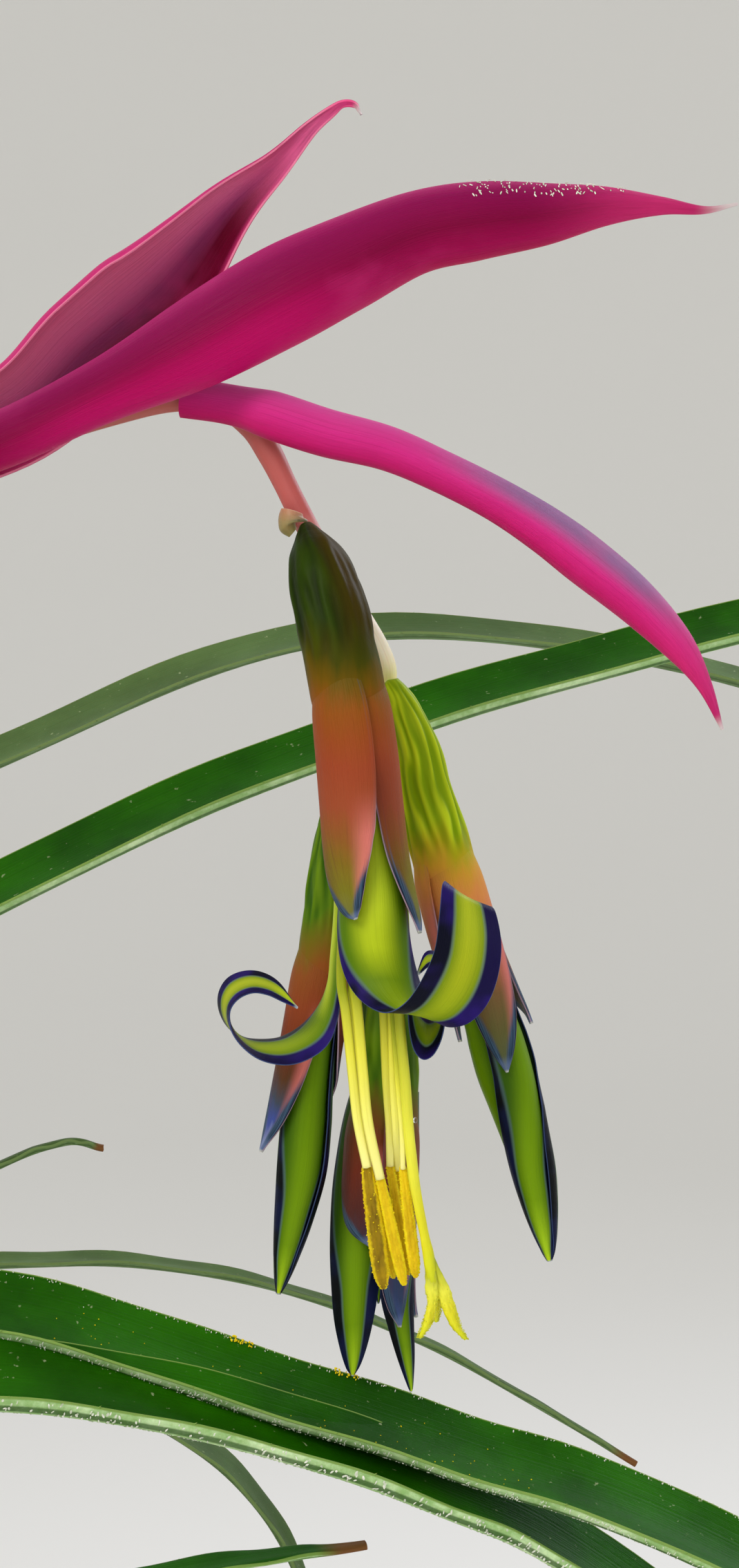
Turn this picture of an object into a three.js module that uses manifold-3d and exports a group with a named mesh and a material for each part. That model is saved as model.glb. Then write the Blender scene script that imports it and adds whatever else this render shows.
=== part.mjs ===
// A billbergia in flower, growing in a plain clay pot.
//
// Millimetres and degrees, +Z up. The origin is the centre of the pot's underside.
// Three leaf shoots stand in wells in the potting mix. The middle one carries the flower
// stalk, which arches over towards +X and hangs four flowers below its pink bracts.

import * as THREE from 'three';
import { mergeVertices } from 'three/addons/utils/BufferGeometryUtils.js';
import Module from 'manifold-3d';

const wasm = await Module();
wasm.setup();

// Pot and potting mix
const POT = { height: 126, baseRadius: 52, topRadius: 76, wall: 6, floor: 8, band: 22, bandOut: 3 };
const DRAIN = { count: 3, radius: 6, fromCentre: 26 };
const SOIL = { level: 113, clearance: 0.5, lump: 1.6, wellDepth: 9, seed: 7 };

// Leaf shoots: where each stands in the pot, and the spacing of its nested leaf bases
const SHOOTS = {
  middle: { x: 0, y: 0, well: 13.6 },
  back: { x: -18, y: 38, well: 12.0 },
  front: { x: -22, y: -36, well: 10.4 },
};
const SHEATH = { foot: 104.3, top: 122, bend: 46, thickness: 0.9 };

// Leaves that stand beside and below the flowers. Each point is the distance out from the
// shoot, the height, half the leaf's width and the bend of its channel.
const LONG_LEAVES = [
  {
    name: 'leaf_long_over', shoot: 'middle', azimuth: 14, ring: 4.6, roll: 24,
    points: [
      [9, 168, 5.0, 40], [24, 212, 4.6, 34], [52, 252, 4.4, 32], [88, 285, 4.4, 30],
      [131, 309.9, 4.5, 28], [165, 324.6, 4.5, 28], [201, 336.3, 4.4, 28], [240, 344.5, 4.1, 26],
      [278, 345.5, 3.5, 24], [311, 336, 2.5, 22], [336, 317, 0.6, 20],
    ],
  },
  {
    name: 'leaf_long_under', shoot: 'middle', azimuth: 2, ring: 8.2, roll: 24,
    points: [
      [11.5, 156, 6.0, 40], [27, 203, 5.6, 32], [54, 241, 5.4, 30], [82, 265.5, 5.4, 28],
      [107, 277.0, 5.3, 28], [130, 275.8, 5.2, 28], [149.3, 269.9, 5.2, 28], [168.2, 263.8, 5.1, 28],
      [188, 256.4, 4.9, 28], [224, 236, 4.2, 26], [255, 210, 2.8, 24], [279, 182, 0.6, 20],
    ],
  },
  {
    name: 'leaf_long_lower', shoot: 'front', azimuth: 12, ring: 3.0, roll: 16,
    points: [
      [7, 162, 4.6, 40], [26, 204, 4.4, 30], [58, 239, 4.2, 26], [96, 261, 4.1, 22],
      [130, 270.6, 4.0, 20], [156, 270.0, 4.0, 20], [175, 266.3, 4.0, 20], [192, 260.6, 3.9, 20],
      [206, 254.0, 3.7, 20], [236, 232, 3.1, 20], [262, 206, 2.0, 20], [281, 182, 0.6, 20],
    ],
  },
  {
    name: 'leaf_back_high', shoot: 'back', azimuth: 11, ring: 3.0, roll: 8,
    points: [
      [9, 172, 4.6, 40], [30, 228, 4.4, 34], [66, 274, 4.2, 32], [108, 304, 4.1, 30],
      [144, 321.6, 4.0, 28], [176, 332.8, 4.0, 26], [208, 335.6, 3.9, 26], [238, 327.4, 3.6, 24],
      [272, 304, 3.0, 22], [300, 272, 2.0, 20], [318, 240, 0.6, 20],
    ],
  },
  {
    name: 'leaf_back_young', shoot: 'back', azimuth: 10, ring: 4.8, roll: 0,
    points: [
      [9, 160, 3.8, 40], [26, 196, 3.2, 34], [56, 228, 2.6, 32], [92, 253, 2.0, 30],
      [124, 271.5, 1.4, 24], [142, 281.6, 1.0, 20], [150, 284.6, 0.7, 20], [154, 284.0, 0.5, 20],
    ],
  },
  {
    name: 'leaf_back_middle', shoot: 'back', azimuth: 16, ring: 6.6, roll: 6,
    points: [
      [11, 160, 4.4, 40], [30, 192, 4.0, 32], [62, 226, 3.6, 30], [100, 254, 3.2, 28],
      [130, 268.2, 2.8, 26], [152, 270.8, 2.5, 24], [172, 268.1, 2.2, 24], [190, 261.4, 1.8, 22],
      [206, 252.4, 1.1, 20], [215, 246.8, 0.5, 20],
    ],
  },
  {
    name: 'leaf_back_low', shoot: 'back', azimuth: 5, ring: 8.4, roll: 14,
    points: [
      [13.5, 150, 4.6, 40], [34, 185, 4.2, 32], [67, 221, 4.0, 30], [104, 250, 3.8, 28],
      [134, 262.5, 3.4, 26], [154, 261.0, 2.8, 24], [167, 252.5, 2.2, 24], [174, 239, 1.4, 22],
      [177, 224, 0.5, 20],
    ],
  },
  {
    name: 'leaf_front_low', shoot: 'front', azimuth: 16, ring: 4.8, roll: 12,
    points: [
      [8, 154, 4.4, 40], [26, 190, 4.0, 30], [62, 218, 3.8, 28], [104, 237, 3.4, 28],
      [140, 246.5, 2.8, 26], [168, 251.4, 1.8, 24], [182, 252.8, 0.5, 20],
    ],
  },
];

// The other leaves: shoot, azimuth, ring radius, reach, height of the arch, drop at the tip
// and half the width of the blade
const ARCHED_LEAVES = [
  ['middle', 194, 4.6, 205, 322, 70, 4.4],
  ['middle', 86, 6.4, 190, 300, 92, 4.6],
  ['middle', 216, 6.5, 222, 300, 112, 4.8],
  ['middle', 172, 8.2, 236, 292, 128, 5.0],
  ['middle', 318, 10.0, 176, 240, 92, 5.2],
  ['middle', 158, 10.0, 228, 262, 128, 5.2],
  ['middle', 276, 12.2, 200, 236, 112, 5.2],
  ['middle', 38, 12.2, 172, 222, 84, 5.0],
  ['back', 188, 3.0, 196, 318, 66, 3.8],
  ['back', 122, 4.8, 176, 290, 84, 4.0],
  ['back', 154, 6.6, 206, 262, 112, 4.4],
  ['back', 112, 8.4, 186, 244, 102, 4.4],
  ['back', 64, 10.7, 178, 218, 84, 4.6],
  ['front', 232, 3.0, 190, 292, 72, 3.8],
  ['front', 268, 5.0, 172, 262, 96, 4.2],
  ['front', 194, 6.9, 210, 238, 112, 4.4],
  ['front', 308, 8.6, 158, 216, 82, 4.4],
];

// Flower stalk: points of its centre line with its radius
const STALK = [
  [0, 0, 104.6, 2.5], [0, 0, 150, 2.5], [0.5, 0, 192, 2.4], [6, 0, 234, 2.3], [22, 0, 272, 2.2],
  [50, 0, 305, 2.0], [84, 0, 329, 1.8], [117.5, 0.2, 344.4, 1.6], [129.9, 0.6, 347.8, 1.4],
  [138.3, 1.6, 350.4, 1.3], [143.9, 2.2, 351.7, 1.25], [147.8, 2.1, 351.2, 1.2],
  [150.4, 1.6, 349.3, 1.15], [151.9, 1.3, 346.9, 1.05], [153.1, 1.1, 344.5, 0.95],
  [154.4, 0.9, 341.9, 0.95], [156.4, 1.0, 338.4, 0.85], [158.9, 1.6, 334.4, 0.8],
  [160.9, 2.6, 331.0, 0.8], [161.4, 3.9, 328.8, 0.85], [160.7, 5.0, 326.4, 0.8],
  [159.3, 5.3, 323.1, 0.75], [158.2, 5.3, 320.0, 0.8], [159.5, 7.4, 316.8, 0.75],
  [161.2, 9.2, 311.0, 0.75], [161.1, 9.5, 305.4, 0.9],
];
const NODE_SCALE = { centre: [153.0, -0.2, 342.0], radius: 1.0, length: 2.4 };

// Bracts: centre of the boat's round section, its radius and how far it wraps
const BRACT_THICKNESS = 0.6;
const BRACT_BEHIND = [
  [106, 0.2, 339.8, 2.8, 95], [117.5, 1.4, 345.2, 3.8, 90], [130.3, 3.2, 350.3, 4.4, 90],
  [136.8, 3.8, 356.2, 4.9, 92], [142.3, 3.8, 360.9, 4.9, 92], [148.2, 3.0, 367.3, 2.6, 86],
  [152.3, 2.2, 370.8, 1.3, 80], [155.0, 1.6, 373.5, 0.7, 70], [156.8, 1.2, 374.9, 0.55, 60],
  [157.8, 0.9, 375.5, 0.42, 50], [158.8, 0.8, 375.4, 0.35, 40], [159.3, 0.8, 374.6, 0.3, 30],
];
const BRACT_FRONT = [
  [117.5, 0.1, 344.4, 2.4, 90], [124, -0.1, 346.2, 2.4, 90], [130.2, -0.6, 347.9, 2.3, 88],
  [137.8, -1.6, 351.4, 2.55, 86], [145, -2.8, 354.8, 3.6, 84], [152.5, -3.2, 358.9, 4.1, 82],
  [158.1, -3.2, 361.7, 3.85, 82], [163.6, -3.1, 364.2, 3.35, 82], [168.6, -3.0, 365.2, 3.2, 82],
  [174, -2.8, 365.8, 2.6, 80], [179, -2.5, 366.5, 1.65, 76], [183.5, -2.2, 366.6, 0.75, 70],
  [187, -2.0, 366.3, 0.4, 50], [189.7, -2.0, 366.8, 0.3, 30],
];
const BRACT_LOWER = [
  [144.6, 2.1, 351.6, 1.9, 60], [148.5, 0.9, 350.9, 1.8, 64], [151.6, -0.9, 350.0, 2.0, 74],
  [156.4, -1.5, 348.4, 1.95, 78], [161.4, -1.8, 347.1, 1.8, 78], [165.8, -2.0, 345.2, 1.7, 78],
  [170.3, -2.2, 342.9, 1.75, 78], [174.1, -2.4, 340.5, 1.95, 76], [177.4, -2.6, 338.0, 2.1, 74],
  [181.3, -2.7, 334.8, 1.95, 70], [184.7, -2.8, 331.3, 1.5, 64], [186.9, -2.8, 328.0, 0.8, 50],
  [188.4, -2.8, 324.4, 0.3, 30],
];

// Bracts lower on the stalk: where they start along it, their length, which side of the
// stalk they sit on and how far the tip stands off. Each clasps the stalk at one radius.
const STALK_BRACT_CLASP = 3.4;
const STALK_BRACTS = [
  { name: 'bract_stalk_top', from: 206, length: 52, side: 0, stand: 8 },
  { name: 'bract_stalk_middle', from: 158, length: 46, side: 150, stand: 7 },
  { name: 'bract_stalk_bottom', from: 112, length: 42, side: -40, stand: 6 },
];

// Flowers. The axis runs from the top of the ovary to the tip of the flower. Along it are
// given distances from that top, in rows of [distance, radius] or, for a sepal, of
// [distance, radius, half angle that it wraps round the axis, azimuth from the front].
const SEPAL_THICKNESS = 0.6;
const PETAL_THICKNESS = 0.6;
const RIB_HEIGHT = 0.05;
const FOLD_HEIGHT = 0.04;
const TIP_BEND = 50;
const FLOWERS = [
  {
    name: 'flower_1',
    axis: [
      [154.9, -1.4, 340.8], [155.5, -3.0, 338.8], [156.4, -4.5, 335.7], [157.2, -5.4, 332.7],
      [157.7, -5.8, 330.2], [158.2, -6.0, 327.7], [158.7, -6.3, 324.1], [159.1, -6.5, 320.2],
      [159.4, -6.7, 316.4], [159.7, -6.8, 313.1], [160.2, -7.0, 309.3], [160.7, -7.1, 305.5],
    ],
    ovary: [[0, 0.8], [1.4, 1.5], [3.4, 2.3], [6, 2.85], [9, 3.0], [11.6, 2.9], [13.9, 2.95]],
    sepals: [
      [
        [14.6, 3.15, 64, -36], [18, 3.2, 60, -36], [23, 3.3, 52, -34], [28, 3.4, 36, -28],
        [31, 3.6, 20, -20], [33, 3.8, 4, -14],
      ],
      [
        [14.6, 3.15, 64, 86], [18, 3.2, 60, 86], [23, 3.3, 50, 86], [28, 3.5, 32, 86],
        [32, 3.9, 16, 86], [34.2, 4.2, 3, 86],
      ],
      [
        [14.6, 3.15, 64, 206], [18, 3.2, 60, 206], [23, 3.3, 50, 206], [28, 3.6, 32, 206],
        [31, 3.9, 16, 206], [33, 4.1, 4, 206],
      ],
    ],
  },
  {
    name: 'flower_2',
    axis: [
      [161.6, 1.9, 328.3], [162.5, 2.0, 326.4], [163.7, 2.1, 323.1], [164.5, 2.3, 319.3],
      [165.7, 2.4, 315.2], [167.0, 2.6, 310.1], [168.4, 2.6, 305.6], [170.0, 2.6, 300.7],
      [171.3, 2.6, 296.2], [172.5, 2.6, 292.0], [173.4, 2.6, 288.5], [174.2, 2.6, 284.3],
      [174.8, 2.6, 280.7],
    ],
    ovary: [[0, 0.8], [1.2, 1.2], [3, 1.6], [6, 2.0], [9, 2.2], [12, 2.4], [14.4, 2.55]],
    sepals: [
      [
        [14.7, 2.6, 64, 20], [19, 2.65, 60, 20], [24, 2.7, 50, 16], [28, 2.75, 36, 10],
        [31, 2.85, 18, 4], [33, 3.0, 4, 0],
      ],
      [
        [14.7, 2.6, 64, 142], [19, 2.65, 60, 142], [23, 2.7, 48, 134], [26, 2.8, 32, 126],
        [28.4, 2.95, 4, 118],
      ],
      [
        [14.7, 2.6, 64, 262], [19, 2.65, 58, 262], [23, 2.7, 46, 262], [27, 2.8, 28, 262],
        [30, 3.0, 4, 262],
      ],
    ],
    bud: [
      [14.7, 1.9], [22, 1.9], [28, 2.0], [31, 2.2], [34, 2.2], [38, 1.9], [42, 1.65], [46, 1.2],
      [48.4, 0.3],
    ],
  },
  {
    name: 'flower_3',
    axis: [
      [157.0, 6.4, 318.6], [157.0, 6.2, 315.4], [156.8, 6.2, 310.5], [156.4, 6.2, 305.9],
      [155.9, 6.2, 301.9], [155.2, 6.0, 297.3], [154.7, 6.0, 292.8], [154.2, 6.0, 287.6],
      [153.6, 6.0, 283.9], [153.0, 6.0, 280.7], [152.4, 6.0, 277.6],
    ],
    ovary: [[0, 0.7], [1.2, 1.1], [3, 1.5], [6, 2.0], [9, 2.2], [12.2, 2.3]],
    sepals: [
      [
        [12.5, 2.35, 64, -40], [16, 2.4, 60, -42], [20, 2.5, 52, -46], [24, 2.8, 36, -52],
        [27, 3.2, 20, -58], [29.4, 3.8, 4, -62],
      ],
      [
        [12.5, 2.35, 64, 82], [16, 2.4, 58, 82], [20, 2.45, 46, 82], [24, 2.5, 30, 82],
        [27, 2.6, 4, 82],
      ],
      [
        [12.5, 2.35, 64, 202], [16, 2.4, 58, 202], [20, 2.45, 48, 202], [24, 2.6, 32, 202],
        [27.5, 2.8, 4, 202],
      ],
    ],
    bud: [
      [12.5, 1.65], [20, 1.65], [24, 1.8], [27, 1.95], [31, 1.9], [35, 1.45], [38, 0.95],
      [41, 0.3],
    ],
  },
  {
    name: 'flower_4',
    axis: [
      [161.1, 9.6, 304.9], [161.2, 9.4, 301.8], [161.3, 9.2, 297.7], [161.3, 9.0, 293.1],
      [161.1, 8.8, 287.3], [160.8, 8.6, 281.5], [160.6, 8.6, 276.9], [160.6, 8.6, 272.3],
    ],
    ovary: [[0, 0.8], [1.2, 1.3], [3, 1.9], [6, 2.5], [9, 2.7], [11.6, 2.75]],
    sepals: [
      [
        [12.2, 2.95, 64, -55], [15, 3.05, 60, -55], [18, 3.1, 44, -50], [21, 3.15, 22, -42],
        [23.4, 3.05, 4, -34],
      ],
      [
        [12.2, 2.95, 64, 64], [16, 3.05, 58, 56], [21, 3.1, 44, 42], [25, 3.1, 28, 28],
        [28, 3.05, 14, 20], [30, 3.1, 4, 18],
      ],
      [
        [12.2, 2.95, 64, 184], [16, 3.05, 58, 180], [21, 3.1, 46, 168], [25, 3.1, 30, 150],
        [29.6, 3.1, 4, 124],
      ],
    ],
    bud: [[12.2, 1.9], [16, 1.95], [19, 2.0], [22, 2.0], [25, 1.9], [27, 1.3], [29, 0.5]],
    tips: [
      [
        [159.3, 7.9, 286.0, 1.4], [158.6, 7.5, 281.5, 1.7], [158.4, 7.3, 277.5, 1.8],
        [158.5, 7.4, 274.0, 1.3], [158.6, 7.8, 270.8, 0.3],
      ],
      [
        [162.3, 8.0, 286.0, 1.2], [162.2, 7.7, 280.5, 1.3], [162.5, 7.5, 276.5, 1.3],
        [163.0, 7.7, 272.8, 0.9], [163.5, 8.1, 269.4, 0.3],
      ],
      [
        [160.9, 10.6, 286.0, 1.4], [160.9, 10.9, 280.5, 1.5], [161.0, 11.0, 276.0, 1.1],
        [161.0, 11.0, 272.4, 0.3],
      ],
    ],
  },
];

// The open flower's petals hang in a tube and then roll back. Each row is a point on the
// middle of the petal, the direction that its hollow side faces, half its width and bend.
const OPEN_PETALS = [
  [
    [158.7, -8.0, 327.2, 0, 1, 0, 1.9, 64], [159.2, -8.4, 321.9, 0, 1, 0, 1.95, 64],
    [159.7, -8.9, 316.4, 0, 1, 0, 2.15, 66], [160.1, -9.25, 311.5, 0, 1, 0.1, 2.35, 66],
    [160.3, -10.3, 307.0, 0, 1, 0.2, 2.75, 48], [160.8, -11.4, 304.1, -0.2, 0.9, 0.5, 2.7, 32],
    [162.2, -12.8, 302.4, -0.4, 0.2, 1, 2.6, 20], [164.2, -14.0, 302.6, -0.4, -0.4, 0.8, 2.6, 14],
    [166.1, -14.7, 304.2, -0.4, -0.8, 0.5, 2.6, 12], [167.5, -14.9, 306.8, -0.3, -1, 0.1, 2.6, 12],
    [167.8, -14.2, 309.6, -0.2, -0.8, 0.7, 2.4, 12], [167.8, -12.6, 311.0, -0.1, 0.1, 1, 2.0, 12],
    [168.0, -10.9, 309.8, 0, 1, 0.4, 1.4, 12], [168.3, -10.3, 307.8, 0, 1, 0, 0.4, 12],
  ],
  [
    [156.4, -5.3, 327.2, 0.94, -0.34, 0, 1.8, 64], [156.9, -5.6, 321.9, 0.94, -0.34, 0, 1.9, 62],
    [157.2, -5.9, 316.4, 0.94, -0.34, 0, 2.0, 60], [157.15, -5.9, 311.4, 0.94, -0.34, 0, 2.15, 54],
    [156.8, -5.7, 307.0, 0.94, -0.34, 0.1, 2.3, 38], [156.4, -5.6, 303.7, 0.8, -0.2, 0.5, 2.3, 28],
    [155.0, -6.2, 301.0, 0.5, -0.3, 0.8, 2.3, 20], [152.9, -7.0, 299.6, 0.1, -0.35, 0.9, 2.3, 14],
    [150.7, -7.6, 299.4, -0.2, -0.35, 0.9, 2.2, 10], [149.1, -8.2, 300.8, -0.9, -0.2, 0.3, 2.1, 10],
    [148.5, -8.6, 302.8, -1, 0, -0.1, 1.9, 10], [149.4, -8.7, 304.6, -0.7, 0.3, -0.7, 1.6, 10],
    [151.2, -8.5, 305.1, 0, 0.4, -0.9, 1.3, 10], [153.0, -8.1, 304.1, 0.6, 0.3, -0.7, 0.9, 10],
    [154.3, -7.8, 302.8, 0.8, 0.2, -0.6, 0.3, 10],
  ],
  [
    [159.6, -4.5, 327.2, -0.7, -0.7, 0, 1.8, 64], [160.2, -4.8, 321.9, -0.7, -0.7, 0, 1.9, 62],
    [160.9, -5.1, 316.4, -0.7, -0.7, 0, 2.0, 60], [161.3, -5.2, 311.4, -0.7, -0.7, 0, 2.15, 54],
    [161.9, -4.3, 306.8, -0.7, -0.7, 0.1, 2.3, 34], [162.7, -4.3, 303.6, -0.7, -0.5, 0.5, 2.3, 24],
    [164.0, -4.6, 301.2, -0.4, -0.4, 0.8, 2.2, 18], [165.6, -5.0, 300.3, 0, -0.4, 0.9, 2.1, 14],
    [167.0, -5.5, 300.9, 0.7, -0.3, 0.5, 2.0, 12], [167.6, -6.0, 302.7, 1, 0, -0.1, 1.8, 12],
    [166.9, -6.3, 304.7, 0.6, 0.3, -0.7, 1.5, 12], [165.4, -6.6, 305.8, 0, 0.4, -0.9, 1.0, 12],
    [164.0, -6.9, 305.4, -0.5, 0.3, -0.8, 0.4, 12],
  ],
];

// Stamens: they spring from one root inside the flower. Each row gives three points on the
// filament, its end and the anther's free end. The first four show in front.
const STAMEN = {
  filament: 0.38, anther: 0.62, root: [158.2, -6.1, 327.3, 1.1], rootEnd: [158.4, -6.2, 324.9, 0.9],
  footInside: 1,
};
// Share of an anther's length and of its radius
const ANTHER_PROFILE = [[-0.07, 0.3], [0.12, 1], [0.5, 1], [0.88, 1], [1, 0.35]];
const STAMENS = [
  [
    [157.95, -6.3, 320.2], [157.9, -6.4, 304.8], [158.7, -6.2, 297.0], [159.6, -6.0, 289.6],
    [161.2, -6.0, 279.8],
  ],
  [
    [158.6, -7.5, 320.2], [159.0, -7.6, 303.5], [159.6, -7.5, 296.5], [160.4, -7.2, 289.0],
    [162.5, -7.2, 279.6],
  ],
  [
    [160.0, -6.0, 320.2], [161.1, -5.5, 304.5], [161.5, -4.7, 297.0], [161.8, -4.6, 289.6],
    [163.2, -4.5, 280.8],
  ],
  [
    [159.9, -7.2, 320.2], [161.4, -7.8, 303.5], [162.1, -7.8, 297.0], [162.7, -7.7, 289.4],
    [163.7, -7.8, 280.6],
  ],
  [
    [158.3, -5.7, 320.2], [159.0, -5.4, 303.5], [159.4, -4.8, 297.0], [160.0, -4.4, 289.4],
    [161.2, -4.0, 280.4],
  ],
  [
    [159.2, -5.8, 320.2], [160.2, -5.5, 305.0], [160.8, -3.4, 297.0], [161.6, -2.8, 290.2],
    [162.9, -2.4, 281.6],
  ],
];
const STYLE = [
  [159.2, -6.8, 318.6, 0.3], [161.7, -6.5, 304.8, 0.35], [162.8, -6.2, 297.1, 0.35],
  [163.3, -6.1, 292.8, 0.35], [163.7, -6.0, 288.8, 0.4], [164.4, -6.0, 285.5, 0.5],
  [165.1, -6.0, 282.6, 0.55], [165.5, -6.0, 280.9, 0.5],
];
const STIGMA_LOBES = [
  [
    [165.3, -6.0, 282.0, 0.5], [164.9, -6.2, 279.6, 0.45], [165.0, -6.4, 278.0, 0.45],
    [164.0, -6.6, 276.0, 0.4],
  ],
  [
    [165.3, -6.0, 282.0, 0.5], [166.6, -5.8, 278.6, 0.45], [167.2, -5.7, 277.0, 0.45],
    [167.9, -5.6, 275.8, 0.35],
  ],
  [
    [165.3, -6.0, 282.0, 0.5], [165.6, -5.0, 279.6, 0.45], [165.9, -4.4, 278.2, 0.4],
    [166.0, -4.0, 277.2, 0.35],
  ],
];

// How finely each form is divided: rows along it, columns or sides across or round it
const FACETS = {
  pot: 40, mix: 24, well: 24, drain: 16,
  leaf: { rowsPerPoint: 1.5, columns: 3 }, archedLeaf: { rows: 13, columns: 2 },
  stalk: { rows: 40, sides: 8 }, scale: { round: 8, high: 6 },
  bract: { rowsPerPoint: 1.5, columns: 6 }, stalkBract: { rows: 9, columns: 6 },
  ovary: { rows: 8, ribs: 8 }, sepal: { rows: 6, columns: 4 }, bud: { rows: 12, folds: 3 },
  budTip: { rows: 5, columns: 3 }, petal: { rowsPerPoint: 1.6, columns: 3 },
  filament: { rows: 6, sides: 5 }, anther: { rows: 5, sides: 6 },
  style: { rows: 10, sides: 6 }, lobe: { rows: 5, sides: 6 },
};

const colours = {
  clay: [0xb5694a, 0.9], mix: [0x3a2a1e, 0.95], leaf: [0x3f7a2c, 0.5], leafPale: [0x86a17a, 0.6],
  stalk: [0xc9705c, 0.5], bract: [0xc21a63, 0.45], ovary: [0x5b7015, 0.4], sepal: [0xc0724f, 0.45],
  petal: [0x8aa318, 0.4], stamen: [0xe3dc4c, 0.6], stigma: [0xc9d63a, 0.5],
};
const finish = Object.fromEntries(Object.entries(colours).map(([name, [color, roughness]]) => [
  name, new THREE.MeshStandardMaterial({ color, roughness, metalness: 0 }),
]));

const radians = THREE.MathUtils.degToRad;
const vector = (values) => new THREE.Vector3(values[0], values[1], values[2]);

// A smooth curve that passes through every point, evenly spaced in its parameter
function through(points) {
  return new THREE.CatmullRomCurve3(points.map(vector), false, 'catmullrom', 0.5);
}

// A closed mesh from a grid of points on one face and the matching grid on the other
function closedSheet(positions, rows, columns) {
  const width = columns + 1;
  const back = (rows + 1) * width;
  const index = [];
  const quad = (a, b, c, d) => index.push(a, b, c, a, c, d);
  for (let i = 0; i < rows; i++) {
    for (let j = 0; j < columns; j++) {
      const corner = i * width + j;
      quad(corner, corner + 1, corner + width + 1, corner + width);
      index.push(back + corner, back + corner + width + 1, back + corner + 1);
      index.push(back + corner, back + corner + width, back + corner + width + 1);
    }
    const near = i * width;
    const far = near + columns;
    quad(near, near + width, back + near + width, back + near);
    quad(far, back + far, back + far + width, far + width);
  }
  for (let j = 0; j < columns; j++) {
    const end = rows * width + j;
    quad(j, back + j, back + j + 1, j + 1);
    quad(end, end + 1, back + end + 1, back + end);
  }
  const geometry = new THREE.BufferGeometry();
  geometry.setAttribute('position', new THREE.Float32BufferAttribute(positions, 3));
  geometry.setIndex(index);
  return geometry;
}

// A blade along a middle line. Each key holds a point, the direction that the hollow side
// faces, half the width and the angle from the middle to the edge of its round section.
function blade(keys, rows, columns, thickness) {
  const middle = through(keys.map((key) => key.at));
  const hollow = through(keys.map((key) => key.open));
  const form = through(keys.map((key) => [key.half, key.bend, 0]));
  const positions = [];
  for (const face of [-1, 1]) {
    for (let i = 0; i <= rows; i++) {
      const t = i / rows;
      const along = middle.getTangent(t);
      const open = hollow.getPoint(t);
      open.addScaledVector(along, -open.dot(along)).normalize();
      const across = new THREE.Vector3().crossVectors(along, open);
      const section = form.getPoint(t);
      const spread = radians(section.y);
      const radius = section.x / Math.sin(Math.min(spread, Math.PI / 2));
      const reach = radius + face * thickness / 2;
      for (let j = 0; j <= columns; j++) {
        const angle = spread * (2 * j / columns - 1);
        const point = middle.getPoint(t);
        point.addScaledVector(across, reach * Math.sin(angle));
        point.addScaledVector(open, radius - reach * Math.cos(angle));
        positions.push(point.x, point.y, point.z);
      }
    }
  }
  return closedSheet(positions, rows, columns);
}

// A round, closed stem along rows of [x, y, z, radius]. With ribs, its radius rises and
// falls that many times round it.
function stem(rows, steps, sides, ribs = 0, ribHeight = 0) {
  const middle = through(rows);
  const size = through(rows.map((row) => [row[3], 0, 0]));
  const front = new THREE.Vector3(0, -1, 0);
  const positions = [];
  const index = [];
  for (let i = 0; i <= steps; i++) {
    const t = i / steps;
    const centre = middle.getPoint(t);
    const along = middle.getTangent(t);
    const first = front.clone().addScaledVector(along, -front.dot(along)).normalize();
    const second = new THREE.Vector3().crossVectors(along, first);
    const radius = size.getPoint(t).x;
    for (let j = 0; j < sides; j++) {
      const angle = 2 * Math.PI * j / sides;
      const reach = radius * (1 + ribHeight * Math.cos(ribs * angle));
      const point = centre.clone();
      point.addScaledVector(first, reach * Math.cos(angle));
      point.addScaledVector(second, reach * Math.sin(angle));
      positions.push(point.x, point.y, point.z);
      if (i === steps) continue;
      const next = i * sides + (j + 1) % sides;
      const here = i * sides + j;
      index.push(here, next, next + sides, here, next + sides, here + sides);
    }
  }
  for (const [t, ring] of [[0, 0], [1, steps]]) {
    const cap = positions.length / 3;
    const centre = middle.getPoint(t);
    positions.push(centre.x, centre.y, centre.z);
    for (let j = 0; j < sides; j++) {
      const a = ring * sides + j;
      const b = ring * sides + (j + 1) % sides;
      index.push(cap, ring ? a : b, ring ? b : a);
    }
  }
  const geometry = new THREE.BufferGeometry();
  geometry.setAttribute('position', new THREE.Float32BufferAttribute(positions, 3));
  geometry.setIndex(index);
  return geometry;
}

function solid(geometry) {
  const bare = geometry.clone();
  bare.deleteAttribute('normal');
  bare.deleteAttribute('uv');
  const merged = mergeVertices(bare, 1e-4);
  return new wasm.Manifold(new wasm.Mesh({
    numProp: 3,
    vertProperties: new Float32Array(merged.attributes.position.array),
    triVerts: new Uint32Array(merged.index.array),
  }));
}

function meshOf(body) {
  const mesh = body.getMesh();
  const geometry = new THREE.BufferGeometry();
  geometry.setAttribute('position', new THREE.BufferAttribute(mesh.vertProperties, 3));
  geometry.setIndex(new THREE.BufferAttribute(mesh.triVerts, 1));
  return geometry;
}

const fuse = (shapes) => meshOf(shapes.map(solid).reduce((all, next) => all.add(next)));
const cut = (shape, tools) => (
  meshOf(tools.map(solid).reduce((all, tool) => all.subtract(tool), solid(shape)))
);

const plant = new THREE.Group();

function place(name, geometry, material) {
  const mesh = new THREE.Mesh(geometry, material);
  mesh.name = name;
  plant.add(mesh);
}

function upright(radius, bottom, top, x, y, sides) {
  const shape = new THREE.CylinderGeometry(radius, radius, top - bottom, sides);
  return shape.rotateX(Math.PI / 2).translate(x, y, (top + bottom) / 2);
}

// Inner radius of the pot at a height
function potInside(height) {
  const slope = (POT.topRadius - POT.baseRadius) / POT.height;
  return POT.baseRadius + slope * height - POT.wall;
}

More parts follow.
